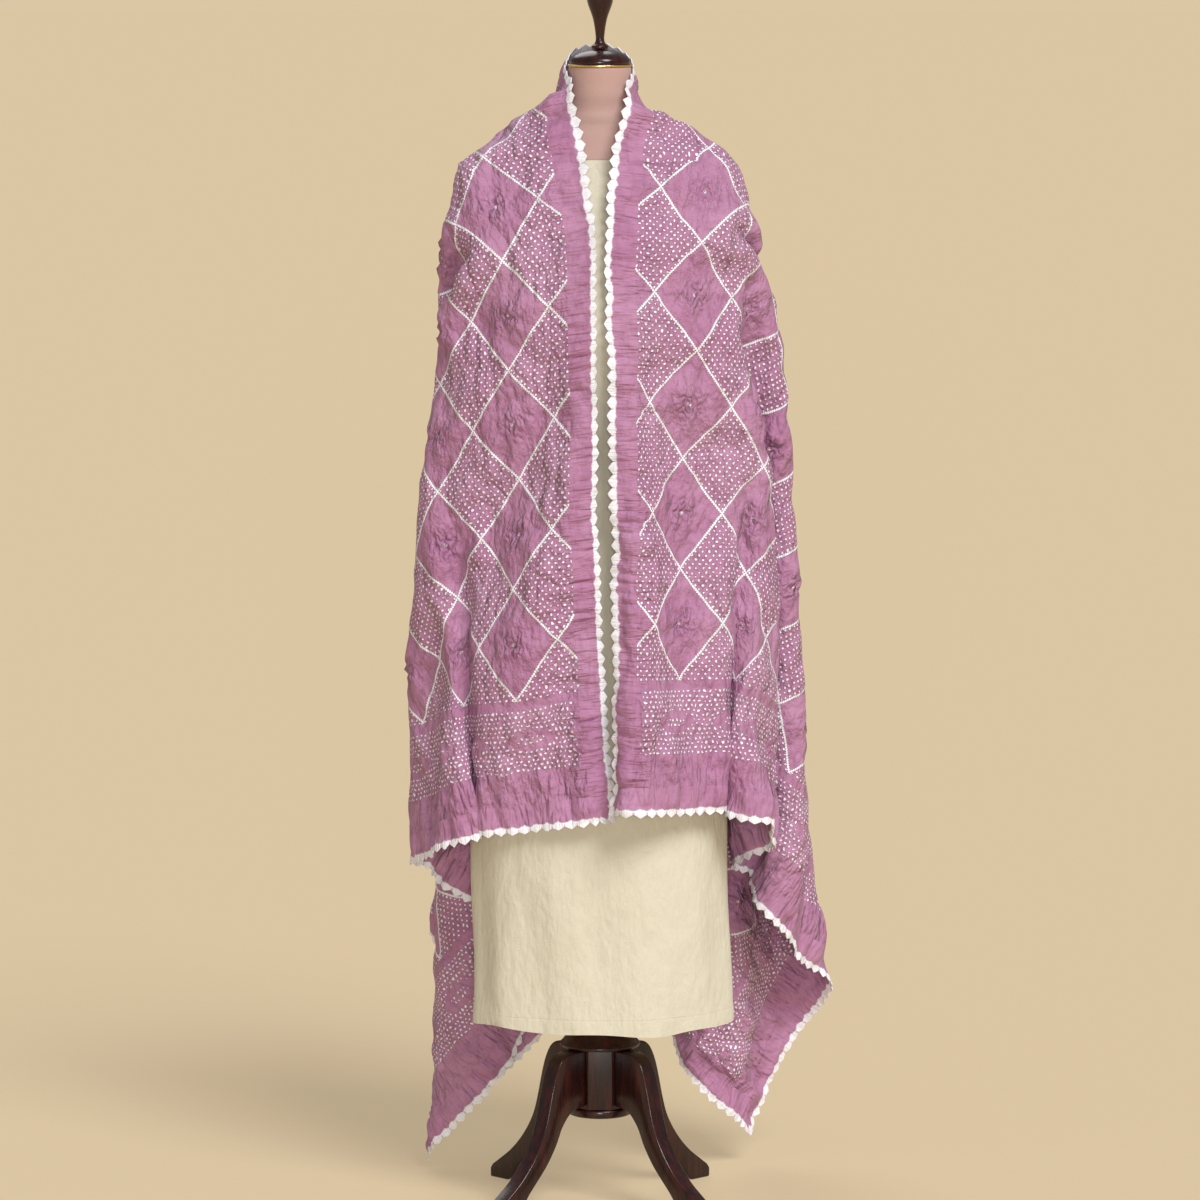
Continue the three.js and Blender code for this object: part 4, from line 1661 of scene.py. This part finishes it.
    def _sheet(self) -> bpy.types.Object:
        """Makes the sheet inside the border, finer where it shows and puckers.

        Returns:
            The sheet.
        """
        low, nape = self.plan.border, self.plan.length / 2
        far, end = self.plan.length - low, self.plan.width - low
        gap = self.spacing
        left, right = nape - gap.back_half, nape + gap.back_half
        along = self._spread([(low, left, gap.fine), (left, right, gap.behind), (right, far, gap.fine)])
        front, panel, outer = gap.front_band, gap.panel, end - gap.outer_band
        inner = [(low, front, gap.fine), (front, panel, gap.on_panel)]
        across = self._spread([*inner, (panel, outer, gap.on_side), (outer, end, gap.outside)])
        s, t = np.meshgrid(along, across, indexing="ij")
        self.cut = (along, across, self.surface(s, t))
        obj = mesh_from_rows("bandhani_shawl", self.cut[2], {"flat": np.stack([s, t], -1)}, False)
        return self._thicken(obj)

    def _rim(self, s: np.ndarray, t: np.ndarray) -> np.ndarray:
        """Finds points of the sheet's rim, on its own straight edges.

        Args:
            s: Metres from the left hem, on the rim.
            t: Metres from the collar selvedge, on the rim.

        Returns:
            Points in space.
        """
        along, across, places = self.cut
        out = np.zeros((len(s), 3))
        for c in range(3):
            low, high = (np.interp(s, along, places[:, j, c]) for j in (0, -1))
            left, right = (np.interp(t, across, places[i, :, c]) for i in (0, -1))
            hems = np.where(s <= along[0], left, right)
            out[:, c] = np.where(t <= across[0], low, np.where(t >= across[-1], high, hems))
        return out

    def _edge(self) -> bpy.types.Object:
        """Makes the border round the sheet, from its rim out to the scallops.

        Returns:
            The border.
        """
        outline = self._outline()
        inset = self.plan.border
        inner_s = np.clip(outline[:, 0], inset, self.plan.length - inset)
        inner_t = np.clip(outline[:, 1], inset, self.plan.width - inset)
        shares = np.array(self.edge_rows)
        s = inner_s[:, None] + (outline[:, 2] - inner_s)[:, None] * shares
        t = inner_t[:, None] + (outline[:, 3] - inner_t)[:, None] * shares
        petal = np.abs(np.cos(np.pi * outline[:, 4]))[:, None]
        bulge = np.clip((shares - self.petal_from) / self.petal_span, 0, 1)
        lift = self.petal * petal * np.sin(np.pi * bulge)
        depth = np.broadcast_to(inset * (1 - shares), s.shape)
        counts = np.broadcast_to(outline[:, 4:5] + 0.5, s.shape)
        edge = np.stack([counts, depth], -1)
        last = edge[:1] + np.array([math.ceil(outline[-1, 4]), 0.0])
        flat = np.stack([s, t], -1)
        maps = {"edge": np.concatenate([edge, last]), "flat": np.concatenate([flat, flat[:1]])}
        places = self.surface(s, t, lift)
        places[:, 0] = self._rim(inner_s, inner_t)
        obj = mesh_from_rows("scalloped_border", places, maps, True)
        only(obj)
        bpy.ops.object.mode_set(mode="EDIT")
        bpy.ops.mesh.select_all(action="SELECT")
        bpy.ops.mesh.remove_doubles(threshold=1e-6)
        bpy.ops.object.mode_set(mode="OBJECT")
        return self._thicken(obj)

    def _outline(self) -> np.ndarray:
        """Draws the scalloped outline of the flat cloth.

        Returns:
            Rows of a point on the plain outline, the scallop's point there, and the count of scallops.
        """
        wide, high = self.plan.length, self.plan.width
        corners = np.array([(0, 0), (wide, 0), (wide, high), (0, high)], float)
        rows, count, steps = [], 0, self.scallop_steps
        for k in range(4):
            start, stop = corners[k], corners[(k + 1) % 4]
            length = np.linalg.norm(stop - start)
            ahead = (stop - start) / length
            scallops = round(length / self.plan.pitch)
            share = np.arange(scallops * steps)[:, None] / (scallops * steps)
            place = start + (stop - start) * share
            number = count + share * scallops
            ends = np.minimum(number - count, count + scallops - number)
            uneven = 1 + self.scallop_uneven * self.fine(number * 0.9, 0 * number + k)
            notch = self.plan.notch * uneven * (2 * np.abs(number - np.round(number)))
            inward = np.array([-ahead[1], ahead[0]])
            rows.append(np.hstack([place, place + notch * np.clip(ends - 0.5, 0, 1) * inward, number]))
            count += scallops
        return np.concatenate(rows)

    def _thicken(self, obj: bpy.types.Object) -> bpy.types.Object:
        """Gives a sheet the cloth's thickness and smooth shading.

        Args:
            obj: The sheet.

        Returns:
            The same sheet.
        """
        cloth = obj.modifiers.new("cloth", "SOLIDIFY")
        cloth.thickness = self.thickness
        cloth.offset = 0.0
        apply_modifiers(obj)
        bpy.ops.object.shade_smooth_by_angle(angle=math.radians(75))
        return obj


# Stage


@dataclass
class Studio:
    """The pale floor, the soft lights and the camera at the photograph's angle.

    A sun's row is its name, the degrees from the front to the right, the degrees above the floor, the
    watts on a square metre and the width in degrees.
    """

    aim: Vector
    distance: float = 8.4
    elevation: float = 7.0
    lens: float = 185.6
    clip_end: float = 200.0
    sun_distance: float = 5.0
    floor_radius: float = 60.0
    floor_colour: Colour = (0.662, 0.530, 0.349)
    light_colour: Colour = (1.0, 0.985, 0.97)
    surround_colour: Colour = (1.0, 0.99, 0.98)
    surround: float = 0.26
    glow: float = 0.45
    suns: Sequence[tuple[str, float, float, float, float]] = (
        ("key", 30.0, 45.0, 2.65, 26.0),
        ("fill", 0.0, 7.0, 0.95, 12.0),
        ("rim", -165.0, 42.0, 0.85, 40.0),
    )

    def build(self) -> None:
        """Sets the stage."""
        for name, azimuth, height, power, softness in self.suns:
            data = bpy.data.lights.new(name, "SUN")
            data.energy = power
            data.angle = math.radians(softness)
            data.color = self.light_colour
            self._aimed(data, azimuth, height, self.sun_distance)
        self._floor()
        self._world()
        camera = bpy.data.cameras.new("camera")
        camera.lens = self.lens
        camera.clip_end = self.clip_end
        bpy.context.scene.camera = self._aimed(camera, 0.0, self.elevation, self.distance)
        bpy.context.scene.view_settings.view_transform = "Standard"

    def _aimed(
        self, data: bpy.types.ID, azimuth: float, height: float, distance: float
    ) -> bpy.types.Object:
        """Puts a light or a camera round the object, turned towards it.

        Args:
            data: The light or the camera.
            azimuth: Degrees from the front, to the right.
            height: Degrees above the floor.
            distance: Metres from the point that it is aimed at.

        Returns:
            Its object.
        """
        turn, lift = math.radians(azimuth), math.radians(height)
        level = math.cos(lift)
        away = Vector((math.sin(turn) * level, -math.cos(turn) * level, math.sin(lift)))
        obj = bpy.data.objects.new(data.name, data)
        obj.location = self.aim + away * distance
        obj.rotation_euler = (-away).to_track_quat("-Z", "Y").to_euler()
        bpy.context.scene.collection.objects.link(obj)
        return obj

    def _brightness(self) -> float:
        """Returns how bright a white floor is under the suns and the surround."""
        lit = sum(power * math.sin(math.radians(height)) for _, _, height, power, _ in self.suns)
        return self.surround + lit / math.pi

    def _floor(self) -> None:
        """Lays a wide plain floor, which gives off part of its own brightness to keep shadows faint."""
        bpy.ops.object.select_all(action="DESELECT")
        bpy.ops.mesh.primitive_circle_add(vertices=96, radius=self.floor_radius, fill_type="NGON")
        floor = bpy.context.object
        floor.name = "pale_floor"
        recipe = Recipe("pale_floor")
        grain = recipe.noise(recipe.place(), 3.0, 2.0)
        pale = tuple((1 - self.glow) * c for c in self.floor_colour)
        dull = tuple(0.95 * c for c in pale)
        colour = recipe.mix(grain * 0.06, pale, dull)
        recipe.shade(Base_Color=colour, Roughness=0.95, Specular_IOR_Level=0.0)
        recipe.shade(Emission_Color=self.floor_colour, Emission_Strength=self.glow * self._brightness())
        floor.data.materials.append(recipe.material)

    def _world(self) -> None:
        """Sets an even surround, which the camera sees in the lit floor's own colour."""
        world = bpy.data.worlds.new("studio")
        world.use_nodes = True
        tree = world.node_tree
        even = tree.nodes["Background"]
        seen = tree.nodes.new("ShaderNodeBackground")
        dim = (even, self.surround_colour, self.surround)
        bright = (seen, self.floor_colour, self._brightness())
        for node, colour, strength in (dim, bright):
            node.inputs["Color"].default_value = (*colour, 1.0)
            node.inputs["Strength"].default_value = strength
        path = tree.nodes.new("ShaderNodeLightPath")
        mixed = tree.nodes.new("ShaderNodeMixShader")
        tree.links.new(path.outputs["Is Camera Ray"], mixed.inputs[0])
        tree.links.new(even.outputs[0], mixed.inputs[1])
        tree.links.new(seen.outputs[0], mixed.inputs[2])
        tree.links.new(mixed.outputs[0], tree.nodes["World Output"].inputs["Surface"])
        bpy.context.scene.world = world


def main() -> None:
    """Builds the stage, the form and the shawl."""
    logging.basicConfig(level=logging.INFO, format="%(message)s")
    axis = centre_of("hub_post")
    Studio(aim=Vector((axis.x, axis.y, AIM_HEIGHT))).build()
    DressForm(axis).build()
    carriers = ["form_body", "form_neck"]
    grid = DrapedGrid().read(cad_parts["shawl"])
    shawl = Shawl(grid, [search_tree(node) for node in carriers], axis)
    sheet, edge = shawl.build()
    settle_piece(sheet, "shawl", BandhaniDye(shawl.plan).material())
    settle_piece(edge, "shawl", BorderDye(shawl.plan).material())


if __name__ == "__main__":
    main()
